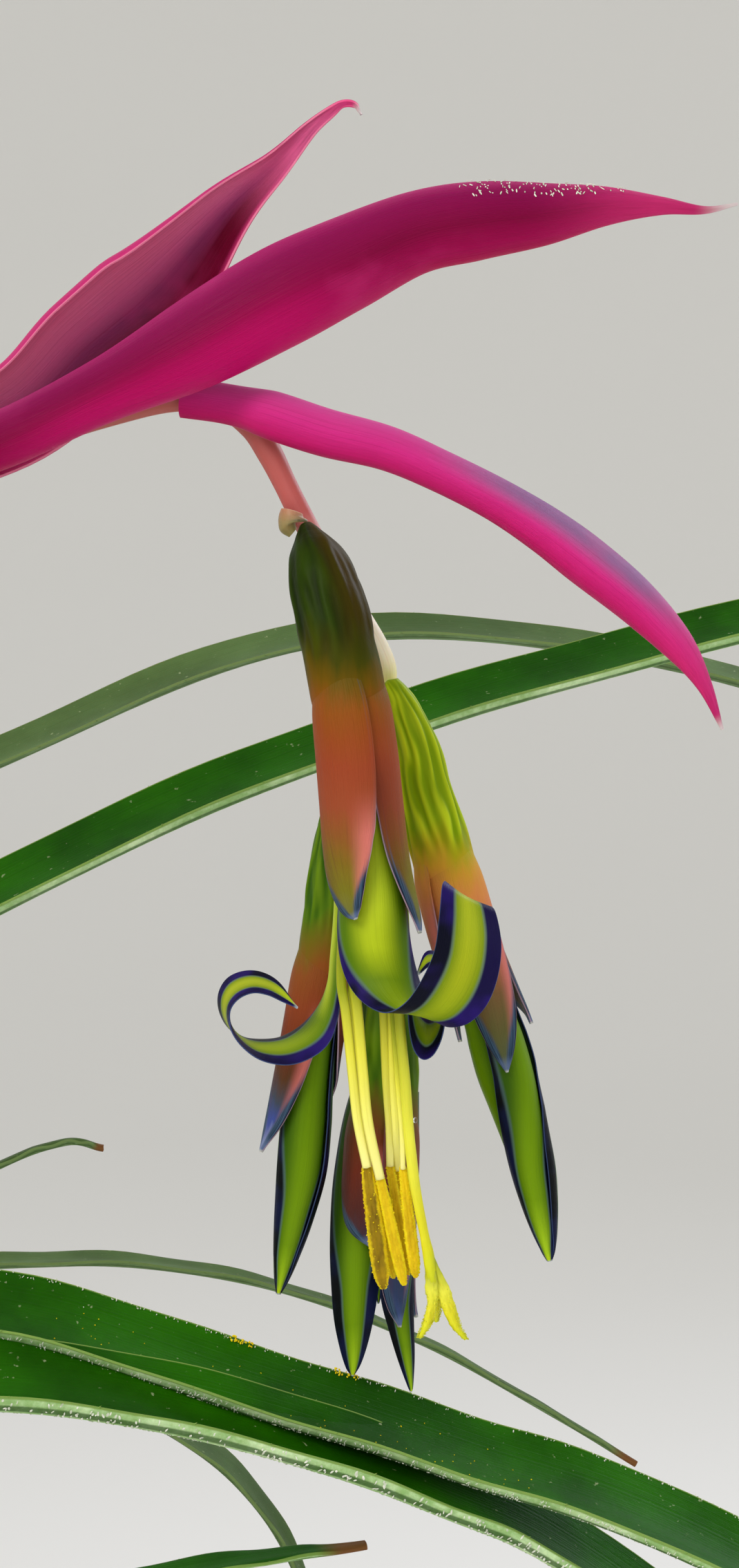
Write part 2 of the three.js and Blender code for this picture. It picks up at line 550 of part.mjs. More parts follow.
function buildPot() {
  const { height, baseRadius, topRadius, floor, band, bandOut } = POT;
  const slope = (topRadius - baseRadius) / height;
  const outside = (z) => baseRadius + slope * z;
  const foot = 2;
  const lip = 1.5;
  const profile = [
    [0, 0], [baseRadius - foot, 0], [baseRadius, foot],
    [outside(height - band), height - band], [outside(height - band) + bandOut, height - band],
    [topRadius + bandOut, height - lip], [topRadius + bandOut - lip, height],
    [potInside(height) + lip, height], [potInside(height), height - lip],
    [potInside(floor), floor], [0, floor],
  ].map(([radius, z]) => new THREE.Vector2(radius, z));
  const wall = new THREE.LatheGeometry(profile, FACETS.pot).rotateX(Math.PI / 2);
  const drains = [];
  for (let i = 0; i < DRAIN.count; i++) {
    const turn = 2 * Math.PI * i / DRAIN.count;
    const [x, y] = [DRAIN.fromCentre * Math.cos(turn), DRAIN.fromCentre * Math.sin(turn)];
    drains.push(upright(DRAIN.radius, -1, floor + 1, x, y, FACETS.drain));
  }
  place('pot', cut(wall, drains), finish.clay);
}

// A repeatable draw between 0 and 1
function draw(seed) {
  let state = seed;
  return () => {
    state = (state * 1664525 + 1013904223) % 4294967296;
    return state / 4294967296;
  };
}

function buildSoil() {
  const next = draw(SOIL.seed);
  const bottom = POT.floor + SOIL.clearance;
  const edge = potInside(SOIL.level) - SOIL.clearance;
  const rings = [0.97, 0.84, 0.68, 0.5, 0.3];
  const profile = [[0, bottom], [potInside(bottom) - SOIL.clearance, bottom], [edge, SOIL.level - 2]];
  for (const part of rings) profile.push([edge * part, SOIL.level]);
  profile.push([0, SOIL.level]);
  const points = profile.map(([radius, z]) => new THREE.Vector2(radius, z));
  const body = new THREE.LatheGeometry(points, FACETS.mix).rotateX(Math.PI / 2);
  body.deleteAttribute('normal');
  body.deleteAttribute('uv');
  const heap = mergeVertices(body, 1e-3);
  const spots = heap.attributes.position;
  for (let i = 0; i < spots.count; i++) {
    if (spots.getZ(i) < SOIL.level - 1) continue;
    spots.setZ(i, SOIL.level + SOIL.lump * (next() - 0.3));
  }
  const wells = Object.values(SHOOTS).map(({ x, y, well }) => (
    upright(well, SOIL.level - SOIL.wellDepth, SOIL.level + SOIL.wellDepth, x, y, FACETS.well)
  ));
  place('potting_mix', cut(heap, wells), finish.mix);
}

// Turns [distance out, height, half width, bend] points into blade keys in the upright
// plane through the shoot. The blade is rolled about its own line as it leaves the sheath.
function leafKeys(shoot, azimuth, ring, points, roll) {
  const { x, y } = SHOOTS[shoot];
  const turn = radians(azimuth);
  const half = ring * Math.sin(radians(SHEATH.bend));
  const sheath = [[ring, SHEATH.foot, half, SHEATH.bend], [ring, SHEATH.top, half, SHEATH.bend]];
  const all = [...sheath, ...points];
  const spine = through(all.map(([out, z]) => [out * Math.cos(turn), out * Math.sin(turn), z]));
  const aside = new THREE.Vector3(-Math.sin(turn), Math.cos(turn), 0);
  return all.map(([out, z, width, bend], i) => {
    const along = spine.getTangent(i / (all.length - 1));
    const open = new THREE.Vector3().crossVectors(along, aside);
    const rolled = radians(roll) * Math.min(1, Math.max(0, (i - 1) / 4));
    open.applyAxisAngle(along, rolled);
    return {
      at: [x + out * Math.cos(turn), y + out * Math.sin(turn), z],
      open: open.toArray(), half: width, bend,
    };
  });
}

function buildLongLeaves() {
  for (const { name, shoot, azimuth, ring, roll, points } of LONG_LEAVES) {
    const keys = leafKeys(shoot, azimuth, ring, points, roll);
    const { rowsPerPoint, columns } = FACETS.leaf;
    const rows = Math.round(rowsPerPoint * (keys.length - 1));
    const pale = name.startsWith('leaf_back');
    place(name, blade(keys, rows, columns, SHEATH.thickness), pale ? finish.leafPale : finish.leaf);
  }
}

function buildArchedLeaves() {
  const { rows, columns } = FACETS.archedLeaf;
  ARCHED_LEAVES.forEach(([shoot, azimuth, ring, reach, height, drop, half], i) => {
    const knee = 170 - 2.8 * ring;
    const rise = height - knee;
    const points = [
      [ring + 3, knee, half + 1, 44],
      [ring + 0.15 * reach, knee + 0.5 * rise, half, 34],
      [ring + 0.38 * reach, knee + 0.88 * rise, half, 30],
      [ring + 0.6 * reach, height, half, 28],
      [ring + 0.8 * reach, height - 0.26 * drop, 0.8 * half, 26],
      [ring + 0.94 * reach, height - 0.68 * drop, 0.5 * half, 24],
      [ring + reach, height - drop, 0.5, 20],
    ];
    const keys = leafKeys(shoot, azimuth, ring, points, 0);
    const number = String(i + 1).padStart(2, '0');
    place(`leaf_arched_${number}`, blade(keys, rows, columns, SHEATH.thickness), finish.leaf);
  });
}

function buildStalk() {
  const { centre, radius, length } = NODE_SCALE;
  const scale = new THREE.SphereGeometry(radius, FACETS.scale.round, FACETS.scale.high);
  scale.scale(1, 1, length / (2 * radius)).rotateY(radians(-18)).translate(...centre);
  place('flower_stalk', fuse([stem(STALK, FACETS.stalk.rows, FACETS.stalk.sides), scale]), finish.stalk);
}

// Bract rows become blade keys: the middle line runs along the keel, one radius away from
// the centre of the section, on the side away from its opening
function bractKeys(rows, opening) {
  return rows.map(([x, y, z, radius, bend]) => ({
    at: [x - opening[0] * radius, y - opening[1] * radius, z - opening[2] * radius],
    open: opening,
    half: radius * Math.sin(Math.min(radians(bend), Math.PI / 2)),
    bend,
  }));
}

function buildBracts() {
  const shapes = [
    ['bract_behind', BRACT_BEHIND, [0, -1, 0]],
    ['bract_front', BRACT_FRONT, [0, 1, 0]],
    ['bract_lower', BRACT_LOWER, [0, 1, 0]],
  ];
  for (const [name, rows, opening] of shapes) {
    const { rowsPerPoint, columns } = FACETS.bract;
    const steps = Math.round(rowsPerPoint * rows.length);
    place(name, blade(bractKeys(rows, opening), steps, columns, BRACT_THICKNESS), finish.bract);
  }
}

// A narrow bract that clasps the stalk at its foot and stands off it at its tip
function buildStalkBracts() {
  const line = through(STALK);
  const whole = line.getLength();
  const sideways = new THREE.Vector3(0, 1, 0);
  const shape = [[0, 104, 0], [0.2, 100, 0], [0.45, 84, 0.06], [0.7, 60, 0.3], [0.88, 34, 0.64], [1, 8, 1]];
  for (const { name, from, length, side, stand } of STALK_BRACTS) {
    const keys = shape.map(([part, bend, off]) => {
      const t = (from + length * part) / whole;
      const along = line.getTangentAt(t);
      const outward = new THREE.Vector3().crossVectors(along, sideways).negate();
      outward.applyAxisAngle(along, radians(side));
      const radius = STALK_BRACT_CLASP;
      const at = line.getPointAt(t).addScaledVector(outward, radius + stand * off);
      const half = radius * Math.sin(Math.min(radians(bend), Math.PI / 2));
      return { at: at.toArray(), open: outward.negate().toArray(), half: Math.max(half, 0.3), bend };
    });
    const { rows, columns } = FACETS.stalkBract;
    place(name, blade(keys, rows, columns, BRACT_THICKNESS), finish.bract);
  }
}

// Place and directions on a flower at a distance along its axis and an angle round it
function flowerPlace(axis) {
  const line = through(axis);
  const length = line.getLength();
  return (distance, azimuth = 0, radius = 0) => {
    const share = Math.min(distance / length, 1);
    const along = line.getTangentAt(share);
    const front = new THREE.Vector3(0, -1, 0);
    front.addScaledVector(along, -front.dot(along)).normalize();
    const outward = front.applyAxisAngle(along, -radians(azimuth));
    const at = line.getPointAt(share).addScaledVector(outward, radius);
    return { at: at.toArray(), inward: outward.clone().negate().toArray() };
  };
}

function buildFlower({ name, axis, ovary, sepals, bud, tips }) {
  const spot = flowerPlace(axis);
  const rowsOf = (profile) => profile.map(([distance, radius]) => [...spot(distance).at, radius]);
  const wrap = ([distance, radius, bend, azimuth]) => {
    const { at, inward } = spot(distance, azimuth, radius);
    return { at, open: inward, half: Math.max(radius * Math.sin(radians(bend)), 0.3), bend };
  };
  const { ribs } = FACETS.ovary;
  const ribbed = stem(rowsOf(ovary), FACETS.ovary.rows, 2 * ribs, ribs, RIB_HEIGHT);
  place(`${name}_ovary`, ribbed, finish.ovary);
  const { rows, columns } = FACETS.sepal;
  const blades = sepals.map((sepal) => blade(sepal.map(wrap), rows, columns, SEPAL_THICKNESS));
  place(`${name}_sepals`, fuse(blades), finish.sepal);
  if (!bud) return;
  const { folds } = FACETS.bud;
  const closed = stem(rowsOf(bud), FACETS.bud.rows, 4 * folds, folds, FOLD_HEIGHT);
  const [axisX, axisY] = axis[axis.length - 1];
  const ends = (tips ?? []).map((points) => {
    const keys = points.map(([x, y, z, half]) => ({
      at: [x, y, z], open: [axisX - x, axisY - y, 0], half, bend: TIP_BEND,
    }));
    return blade(keys, FACETS.budTip.rows, FACETS.budTip.columns, PETAL_THICKNESS);
  });
  place(`${name}_petals`, fuse([closed, ...ends]), finish.petal);
}

function buildOpenFlower() {
  const petals = OPEN_PETALS.map((rows) => {
    const keys = rows.map(([x, y, z, openX, openY, openZ, half, bend]) => ({
      at: [x, y, z], open: [openX, openY, openZ], half, bend,
    }));
    const steps = Math.round(FACETS.petal.rowsPerPoint * (rows.length - 1));
    return blade(keys, steps, FACETS.petal.columns, PETAL_THICKNESS);
  });
  place('flower_1_petals', fuse(petals), finish.petal);

  const { filament, anther, root, rootEnd, footInside } = STAMEN;
  const shapes = [stem([root, rootEnd], 1, FACETS.stalk.sides)];
  for (const [high, middle, low, end, tip] of STAMENS) {
    const foot = [root[0], root[1], root[2] - footInside, filament];
    const thread = [foot, ...[high, middle, low, end].map((point) => [...point, filament])];
    shapes.push(stem(thread, FACETS.filament.rows, FACETS.filament.sides));
    const along = (t) => end.map((value, i) => value + (tip[i] - value) * t);
    const pod = ANTHER_PROFILE.map(([t, size]) => [...along(t), anther * size]);
    shapes.push(stem(pod, FACETS.anther.rows, FACETS.anther.sides));
  }
  place('flower_1_stamens', fuse(shapes), finish.stamen);

  const lobes = STIGMA_LOBES.map((rows) => stem(rows, FACETS.lobe.rows, FACETS.lobe.sides));
  const style = stem(STYLE, FACETS.style.rows, FACETS.style.sides);
  place('flower_1_style', fuse([style, ...lobes]), finish.stigma);
}

buildPot();
buildSoil();
buildLongLeaves();
buildArchedLeaves();
buildStalk();
buildBracts();
buildStalkBracts();
FLOWERS.forEach(buildFlower);
buildOpenFlower();

export default plant;
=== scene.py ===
"""A billbergia in flower in a clay pot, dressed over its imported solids."""

import math
import random

import bpy
import numpy as np
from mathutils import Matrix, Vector, noise


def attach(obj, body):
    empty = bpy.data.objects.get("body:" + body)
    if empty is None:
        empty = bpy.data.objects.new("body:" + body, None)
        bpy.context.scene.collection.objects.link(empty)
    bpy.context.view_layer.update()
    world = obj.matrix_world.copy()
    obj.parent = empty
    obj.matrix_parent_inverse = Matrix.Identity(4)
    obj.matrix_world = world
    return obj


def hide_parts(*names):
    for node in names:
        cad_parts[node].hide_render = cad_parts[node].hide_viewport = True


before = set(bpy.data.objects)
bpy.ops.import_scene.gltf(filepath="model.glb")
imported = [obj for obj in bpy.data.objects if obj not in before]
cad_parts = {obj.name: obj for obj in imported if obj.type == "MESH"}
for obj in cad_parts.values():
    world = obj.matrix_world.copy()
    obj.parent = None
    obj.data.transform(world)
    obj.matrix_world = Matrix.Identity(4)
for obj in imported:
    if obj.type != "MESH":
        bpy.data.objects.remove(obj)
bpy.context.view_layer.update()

# Camera
# It stands level with the flowers, 300 mm in front of the stalk, and looks straight along +Y.
# The focal length is the photograph's, in pixels of its own height.
IMAGE_HEIGHT = 2269
FOCAL_PIXELS = 5340
CAMERA_AT = (0.160, -0.300, 0.320)

camera_data = bpy.data.cameras.new("camera")
camera_data.sensor_fit = "VERTICAL"
camera_data.sensor_height = 36
camera_data.lens = camera_data.sensor_height * FOCAL_PIXELS / IMAGE_HEIGHT
camera_data.clip_start = 0.01
camera = bpy.data.objects.new("camera", camera_data)
camera.location = CAMERA_AT
camera.rotation_euler = (math.pi / 2, 0, 0)
bpy.context.collection.objects.link(camera)
bpy.context.scene.camera = camera
bpy.context.scene.view_settings.view_transform = "Standard"

# Clay pot
# A fired clay pot with a thick rim, thrown in one piece, with three drain holes in its floor.
# It is turned ring by ring, with faint throwing marks, and the holes are cut afterwards.
MM = 0.001
POT_HEIGHT = 126
POT_BASE = 52
POT_TOP = 76
POT_WALL = 6
POT_FLOOR = 8
POT_BAND = 22
POT_BAND_OUT = 3
POT_SIDES = 144
DRAIN_RADIUS = 6
DRAIN_FROM_CENTRE = 26


def tint(text):
    """A colour written as six hexadecimal digits, as the shader's linear numbers"""
    values = [int(text[i:i + 2], 16) / 255 for i in (0, 2, 4)]
    return (*[v / 12.92 if v <= 0.04045 else ((v + 0.055) / 1.055) ** 2.4 for v in values], 1)


class Finish:
    """A material being made: each call adds one step and gives back its result"""

    def __init__(self, name, surface):
        self.material = bpy.data.materials.new(name)
        self.material.use_nodes = True
        self.tree = self.material.node_tree
        self.shader = self.tree.nodes["Principled BSDF"]
        for socket, value in surface.items():
            self.shader.inputs[socket].default_value = value

    def add(self, kind, inputs, **settings):
        node = self.tree.nodes.new(kind)
        for key, value in settings.items():
            setattr(node, key, value)
        for key, value in inputs.items():
            if isinstance(value, bpy.types.NodeSocket):
                self.tree.links.new(value, node.inputs[key])
            else:
                node.inputs[key].default_value = value
        return node

    def place(self, kind="Object", stretch=(1, 1, 1)):
        where = self.add("ShaderNodeTexCoord", {}).outputs[kind]
        return self.add("ShaderNodeMapping", {"Vector": where, "Scale": stretch}).outputs[0]

    def noise(self, scale, kind="Object", stretch=(1, 1, 1), detail=4.0, rough=0.55):
        where = self.place(kind, stretch)
        values = {"Vector": where, "Scale": scale, "Detail": detail, "Roughness": rough}
        return self.add("ShaderNodeTexNoise", values).outputs[0]

    def cells(self, scale, kind="Object", stretch=(1, 1, 1)):
        where = self.place(kind, stretch)
        return self.add("ShaderNodeTexVoronoi", {"Vector": where, "Scale": scale}).outputs[0]

    def mix(self, share, low, high, blend="MIX"):
        inputs = {0: share, 6: low, 7: high}
        return self.add("ShaderNodeMix", inputs, data_type="RGBA", blend_type=blend).outputs[2]

    def math(self, operation, first, second=0.0):
        inputs = {0: first, 1: second}
        return self.add("ShaderNodeMath", inputs, operation=operation).outputs[0]

    def rise(self, value, low, high):
        """Goes smoothly from 0 to 1 as the value goes from low to high"""
        inputs = {"Value": value, 1: low, 2: high}
        return self.add("ShaderNodeMapRange", inputs, interpolation_type="SMOOTHSTEP").outputs[0]

    def ramp(self, share, stops):
        node = self.add("ShaderNodeValToRGB", {0: share})
        band = node.color_ramp
        while len(band.elements) < len(stops):
            band.elements.new(0.5)
        for element, (position, colour) in zip(band.elements, stops):
            element.position = position
            element.color = tint(colour)
        return node.outputs[0]

    def across_and_along(self):
        where = self.add("ShaderNodeTexCoord", {}).outputs["UV"]
        split = self.add("ShaderNodeSeparateXYZ", {0: where})
        return split.outputs[0], split.outputs[1]

    def attribute(self, name):
        return self.add("ShaderNodeAttribute", {}, attribute_name=name).outputs["Fac"]

    def finish(self, colour, rough=None, height=None, depth=0.0001):
        self.tree.links.new(colour, self.shader.inputs["Base Color"])
        if rough is not None:
            self.tree.links.new(rough, self.shader.inputs["Roughness"])
        if height is not None:
            bump = self.add("ShaderNodeBump", {"Height": height, "Distance": depth, "Strength": 1.0})
            self.tree.links.new(bump.outputs[0], self.shader.inputs["Normal"])
        return self.material


def dress(piece, material, slot, *nodes):
    """Gives a piece its material, its body and the CAD nodes that it stands for"""
    piece.data.materials.clear()
    piece.data.materials.append(material)
    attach(piece, "root")
    if nodes:
        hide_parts(*nodes)


def pot_outside(height):
    return POT_BASE + (POT_TOP - POT_BASE) * height / POT_HEIGHT


def pot_inside(height):
    return pot_outside(height) - POT_WALL


def pot_rings():
    """Rings of the pot's wall, from the centre of its foot round the rim to its inner floor"""
    rings = [(20, 0), (POT_BASE - 2, 0), (POT_BASE - 0.6, 0.6), (POT_BASE, 2)]
    under_band = POT_HEIGHT - POT_BAND
    for step in range(2, 41):
        height = 2 + (under_band - 2) * step / 41
        mark = 0.10 * math.sin(height * 1.15) + 0.07 * math.sin(height * 2.9 + 1)
        rings.append((pot_outside(height) + mark, height))
    corner = pot_outside(under_band)
    rings += [(corner, under_band), (corner + 1.6, under_band + 0.2)]
    rings += [(corner + POT_BAND_OUT - 0.3, under_band + 0.8), (corner + POT_BAND_OUT, under_band + 2)]
    for step in range(1, 9):
        height = under_band + 2 + (POT_BAND - 5) * step / 8
        rings.append((pot_outside(height) + POT_BAND_OUT + 0.06 * math.sin(height * 2.3), height))
    lip = POT_TOP + POT_BAND_OUT
    for turn in (20, 50, 80, 100, 130, 160):
        angle = math.radians(turn)
        middle = (lip + pot_inside(POT_HEIGHT)) / 2
        reach = (lip - pot_inside(POT_HEIGHT)) / 2
        rings.append((middle + reach * math.cos(angle), POT_HEIGHT - 2.6 + 2.6 * math.sin(angle)))
    for step in range(1, 21):
        height = POT_HEIGHT - 3 - (POT_HEIGHT - 6 - POT_FLOOR) * step / 20
        rings.append((pot_inside(height) + 0.12 * math.sin(height * 1.4), height))
    rings += [(pot_inside(POT_FLOOR) - 2, POT_FLOOR), (20, POT_FLOOR)]
    return rings


def turn_rings(name, rings, sides):
    """A closed turned form, made by drawing one ring out of the last"""
    bpy.ops.object.select_all(action="DESELECT")
    radius, height = rings[0]
    bpy.ops.mesh.primitive_circle_add(
        vertices=sides, radius=radius * MM, fill_type="NGON", location=(0, 0, height * MM))
    piece = bpy.context.object
    piece.name = name
    bpy.ops.object.transform_apply(location=True, rotation=False, scale=False)
    bpy.ops.object.mode_set(mode="EDIT")
    bpy.ops.mesh.select_all(action="SELECT")
    for next_radius, next_height in rings[1:]:
        rise = (next_height - height) * MM
        bpy.ops.mesh.extrude_region_move(TRANSFORM_OT_translate={"value": (0, 0, rise)})
        ratio = next_radius / radius
        bpy.ops.transform.resize(value=(ratio, ratio, 1), center_override=(0, 0, 0))
        radius, height = next_radius, next_height
    bpy.ops.mesh.select_all(action="SELECT")
    bpy.ops.mesh.normals_make_consistent(inside=False)
    bpy.ops.object.mode_set(mode="OBJECT")
    return piece


def apply_modifiers(piece):
    bpy.ops.object.select_all(action="DESELECT")
    piece.select_set(True)
    bpy.context.view_layer.objects.active = piece
    for modifier in list(piece.modifiers):
        bpy.ops.object.modifier_apply(modifier=modifier.name)


def smooth(piece, angle=60):
    bpy.ops.object.select_all(action="DESELECT")
    piece.select_set(True)
    bpy.context.view_layer.objects.active = piece
    bpy.ops.object.shade_smooth_by_angle(angle=math.radians(angle))


def clay():
    pot = Finish("fired clay", {"Specular IOR Level": 0.25})
    fired = pot.ramp(pot.noise(14, detail=6), [(0.3, "9C5236"), (0.55, "B5684A"), (0.75, "C07B5C")])
    bloom = pot.rise(pot.noise(26, stretch=(1, 1, 0.7), detail=8, rough=0.7), 0.56, 0.78)
    bloomed = pot.mix(pot.math("MULTIPLY", bloom, 0.55), fired, tint("D9C3AE"))
    grit = pot.rise(pot.cells(900), 0.18, 0.02)
    specked = pot.mix(pot.math("MULTIPLY", grit, 0.5), bloomed, tint("6E3A28"))
    rough = pot.rise(pot.noise(160, detail=5), -0.6, 0.9)
    return pot.finish(specked, rough, pot.noise(700, detail=8, rough=0.7), 0.00025)


pot = turn_rings("clay_pot", pot_rings(), POT_SIDES)
for number in range(3):
    turn = 2 * math.pi * number / 3
    bpy.ops.object.select_all(action="DESELECT")
    where = (DRAIN_FROM_CENTRE * math.cos(turn) * MM, DRAIN_FROM_CENTRE * math.sin(turn) * MM, 0.004)
    bpy.ops.mesh.primitive_cylinder_add(vertices=32, radius=DRAIN_RADIUS * MM, depth=0.02, location=where)
    drill = bpy.context.object
    hole = pot.modifiers.new("drain", "BOOLEAN")
    hole.object = drill
    hole.operation = "DIFFERENCE"
    hole.solver = "EXACT"
    apply_modifiers(pot)
    bpy.data.objects.remove(drill)
smooth(pot, 35)
dress(pot, clay(), "clay", "pot")

# Potting mix
# Damp bark and peat fill the pot to a little below its rim, with a dip round each shoot.
# The heap is one closed body, and bark chips, crumbs and white grit lie loose on top of it.
MIX_LEVEL = 113
MIX_CLEARANCE = 0.5
SHOOTS = {"middle": (0, 0, 13.6), "back": (-18, 38, 12.0), "front": (-22, -36, 10.4)}
CHIPS = 620
CRUMBS = 900
GRIT = 90


def mix_height(x, y):
    """Height of the mix's surface, with lumps and with a dip round each shoot"""
    height = MIX_LEVEL + 1.0 * noise.noise(Vector((x, y, 3)) * 0.07)
    height += 0.7 * noise.noise(Vector((x, y, 9)) * 0.3) + 0.3 * noise.noise(Vector((x, y, 5)) * 0.9)
    for shoot_x, shoot_y, well in SHOOTS.values():
        near = math.hypot(x - shoot_x, y - shoot_y) / well
        height -= 3.0 * max(0, 1 - near * near) ** 0.5
    return height


def grid(name, columns, rows):
    """A flat grid, its points' places from -1 to 1, and the column and row of each point"""
    bpy.ops.object.select_all(action="DESELECT")
    bpy.ops.mesh.primitive_grid_add(x_subdivisions=columns, y_subdivisions=rows, size=2)
    piece = bpy.context.object
    piece.name = name
    flat = np.empty(len(piece.data.vertices) * 3)
    piece.data.vertices.foreach_get("co", flat)
    column = np.rint((flat[0::3] + 1) / 2 * columns).astype(int)
    row = np.rint((flat[1::3] + 1) / 2 * rows).astype(int)
    return piece, column, row


def set_points(piece, points):
    piece.data.vertices.foreach_set("co", (points * MM).ravel())
    piece.data.update()


def heap():
    cells = 130
    piece, column, row = grid("mix_heap", cells, cells)
    edge = pot_inside(MIX_LEVEL) - MIX_CLEARANCE
    points = []
    for i, j in zip(column, row):
        a, b = 2 * i / cells - 1, 2 * j / cells - 1
        out = max(abs(a), abs(b)) * edge
        turn = math.atan2(b, a)
        x, y = out * math.cos(turn), out * math.sin(turn)
        points.append((x, y, mix_height(x, y)))
    set_points(piece, np.array(points))
    bottom = POT_FLOOR + MIX_CLEARANCE
    ratio = (pot_inside(bottom) - MIX_CLEARANCE) / edge
    bpy.ops.object.mode_set(mode="EDIT")
    bpy.ops.mesh.select_all(action="DESELECT")
    bpy.ops.mesh.select_non_manifold()
    bpy.ops.mesh.extrude_region_move()
    bpy.ops.transform.resize(value=(1, 1, 0), center_override=(0, 0, bottom * MM))
    bpy.ops.transform.resize(value=(ratio, ratio, 1), center_override=(0, 0, 0))
    bpy.ops.mesh.edge_face_add()
    bpy.ops.mesh.select_all(action="SELECT")
    bpy.ops.mesh.normals_make_consistent(inside=False)
    bpy.ops.object.mode_set(mode="OBJECT")
    return piece


def chip_pattern():
    """One rough bark chip: a cut block with its corners knocked off, 2 across each way"""
    bpy.ops.object.select_all(action="DESELECT")
    bpy.ops.mesh.primitive_cube_add(size=2)
    block = bpy.context.object
    bevel = block.modifiers.new("worn", "BEVEL")
    bevel.width = 0.35
    bevel.segments = 1
    apply_modifiers(block)
    points = np.array([vertex.co[:] for vertex in block.data.vertices])
    faces = [list(face.vertices) for face in block.data.polygons]
    bpy.data.objects.remove(block)
    return points, faces


def grain_pattern():
    bpy.ops.object.select_all(action="DESELECT")
    bpy.ops.mesh.primitive_ico_sphere_add(subdivisions=1, radius=1)
    ball = bpy.context.object
    points = np.array([vertex.co[:] for vertex in ball.data.vertices])
    faces = [list(face.vertices) for face in ball.data.polygons]
    bpy.data.objects.remove(ball)
    return points, faces


def turned(draw):
    """A random turn, as three unit vectors"""
    first = Vector((draw.gauss(0, 1), draw.gauss(0, 1), draw.gauss(0, 1))).normalized()
    second = first.orthogonal().normalized()
    second.rotate(Vector((1, 0, 0)).rotation_difference(first))
    second = (second - first * second.dot(first)).normalized()
    return np.array([first[:], second[:], first.cross(second)[:]])


def copies(name, pattern, places, shades=None):
    """One mesh of many copies: each place is a centre, three axes as rows and three sizes"""
    points, faces = pattern
    all_points, all_faces, shade = [], [], []
    for number, (centre, axes, sizes) in enumerate(places):
        start = len(all_points) * len(points)
        all_points.append((points * np.array(sizes)) @ axes + np.array(centre))
        all_faces += [[corner + start for corner in face] for face in faces]
        shade += [shades[number] if shades else 0.5] * len(points)
    mesh = bpy.data.meshes.new(name)
    mesh.from_pydata(np.concatenate(all_points) * MM, [], all_faces)
    mesh.uv_layers.new(name="UVMap")
    mesh.attributes.new("shade", "FLOAT", "POINT").data.foreach_set("value", shade)
    piece = bpy.data.objects.new(name, mesh)
    bpy.context.collection.objects.link(piece)
    return piece


def loose_on_mix(count, seed, sizes, lift, tilt):
    """Places strewn over the mix, clear of the shoots and of the pot's wall"""
    draw = random.Random(seed)
    places = []
    edge = pot_inside(MIX_LEVEL) - 4
    while len(places) < count:
        out, turn = edge * math.sqrt(draw.random()), draw.uniform(0, 2 * math.pi)
        x, y = out * math.cos(turn), out * math.sin(turn)
        if any(math.hypot(x - a, y - b) < well for a, b, well in SHOOTS.values()):
            continue
        size = [draw.uniform(*span) for span in sizes]
        lean, heading = draw.uniform(-tilt, tilt), draw.uniform(0, 2 * math.pi)
        first = np.array([math.cos(heading) * math.cos(lean), math.sin(heading) * math.cos(lean), math.sin(lean)])
        second = np.array([-math.sin(heading), math.cos(heading), 0])
        axes = np.array([first, second, np.cross(first, second)])
        places.append(((x, y, mix_height(x, y) + lift * size[2]), axes, size))
    return places, [draw.random() for _ in places]


def peat():
    mix = Finish("damp peat", {"Specular IOR Level": 0.2})
    colour = mix.ramp(mix.noise(420, detail=8, rough=0.7), [(0.32, "150D08"), (0.55, "2E1E13"), (0.75, "4A3321")])
    return mix.finish(colour, mix.rise(mix.noise(90), -1.2, 0.9), mix.noise(650, detail=9, rough=0.75), 0.0011)


def bark():
    chip = Finish("pine bark", {"Specular IOR Level": 0.25})
    shade = chip.attribute("shade")
    base = chip.ramp(shade, [(0.0, "2A1A10"), (0.45, "4B301D"), (0.8, "6B4529"), (1.0, "8A5F3B")])
    fibre = chip.noise(300, stretch=(1, 1, 4), detail=7, rough=0.65)
    colour = chip.mix(chip.math("MULTIPLY", fibre, 0.6), base, tint("1B110A"))
    return chip.finish(colour, chip.rise(fibre, -1.0, 1.0), fibre, 0.0007)


def perlite():
    grain = Finish("white grit", {"Specular IOR Level": 0.3})
    colour = grain.ramp(grain.noise(900, detail=6), [(0.3, "B9B4A6"), (0.6, "E6E2D8")])
    return grain.finish(colour, grain.rise(grain.noise(300), -1.5, 0.8), grain.noise(1400, detail=6), 0.0004)


mix_heap = heap()
smooth(mix_heap, 80)
dress(mix_heap, peat(), "potting_mix", "potting_mix")
bark_finish = bark()
chip_places, chip_shades = loose_on_mix(CHIPS, 11, [(1.8, 5.2), (1.2, 3.0), (0.5, 1.2)], 0.5, 0.4)
chips = copies("mix_bark_chips", chip_pattern(), chip_places, chip_shades)
dress(chips, bark_finish, "potting_mix")
crumb_places, crumb_shades = loose_on_mix(CRUMBS, 12, [(0.4, 1.1), (0.4, 0.9), (0.3, 0.7)], 0.4, 0.6)
crumbs = copies("mix_crumbs", grain_pattern(), crumb_places, crumb_shades)
dress(crumbs, bark_finish, "potting_mix")
grit_places, grit_shades = loose_on_mix(GRIT, 13, [(0.8, 1.6), (0.7, 1.3), (0.6, 1.1)], 0.6, 0.8)
grit = copies("mix_white_grit", grain_pattern(), grit_places, grit_shades)
dress(grit, perlite(), "potting_mix")

# Long leaves
# Tough, channelled strap leaves beside and below the flowers, green and glossy inside and
# silver with scurf beneath. Each is a grid bent along its line, with small thorns added.
LEAF_THICKNESS = 0.7
SHEATH_FOOT = 104.3
SHEATH_TOP = 122
SHEATH_BEND = 46
THORN_SPACING = 8.0
THORN_SIZE = 0.3


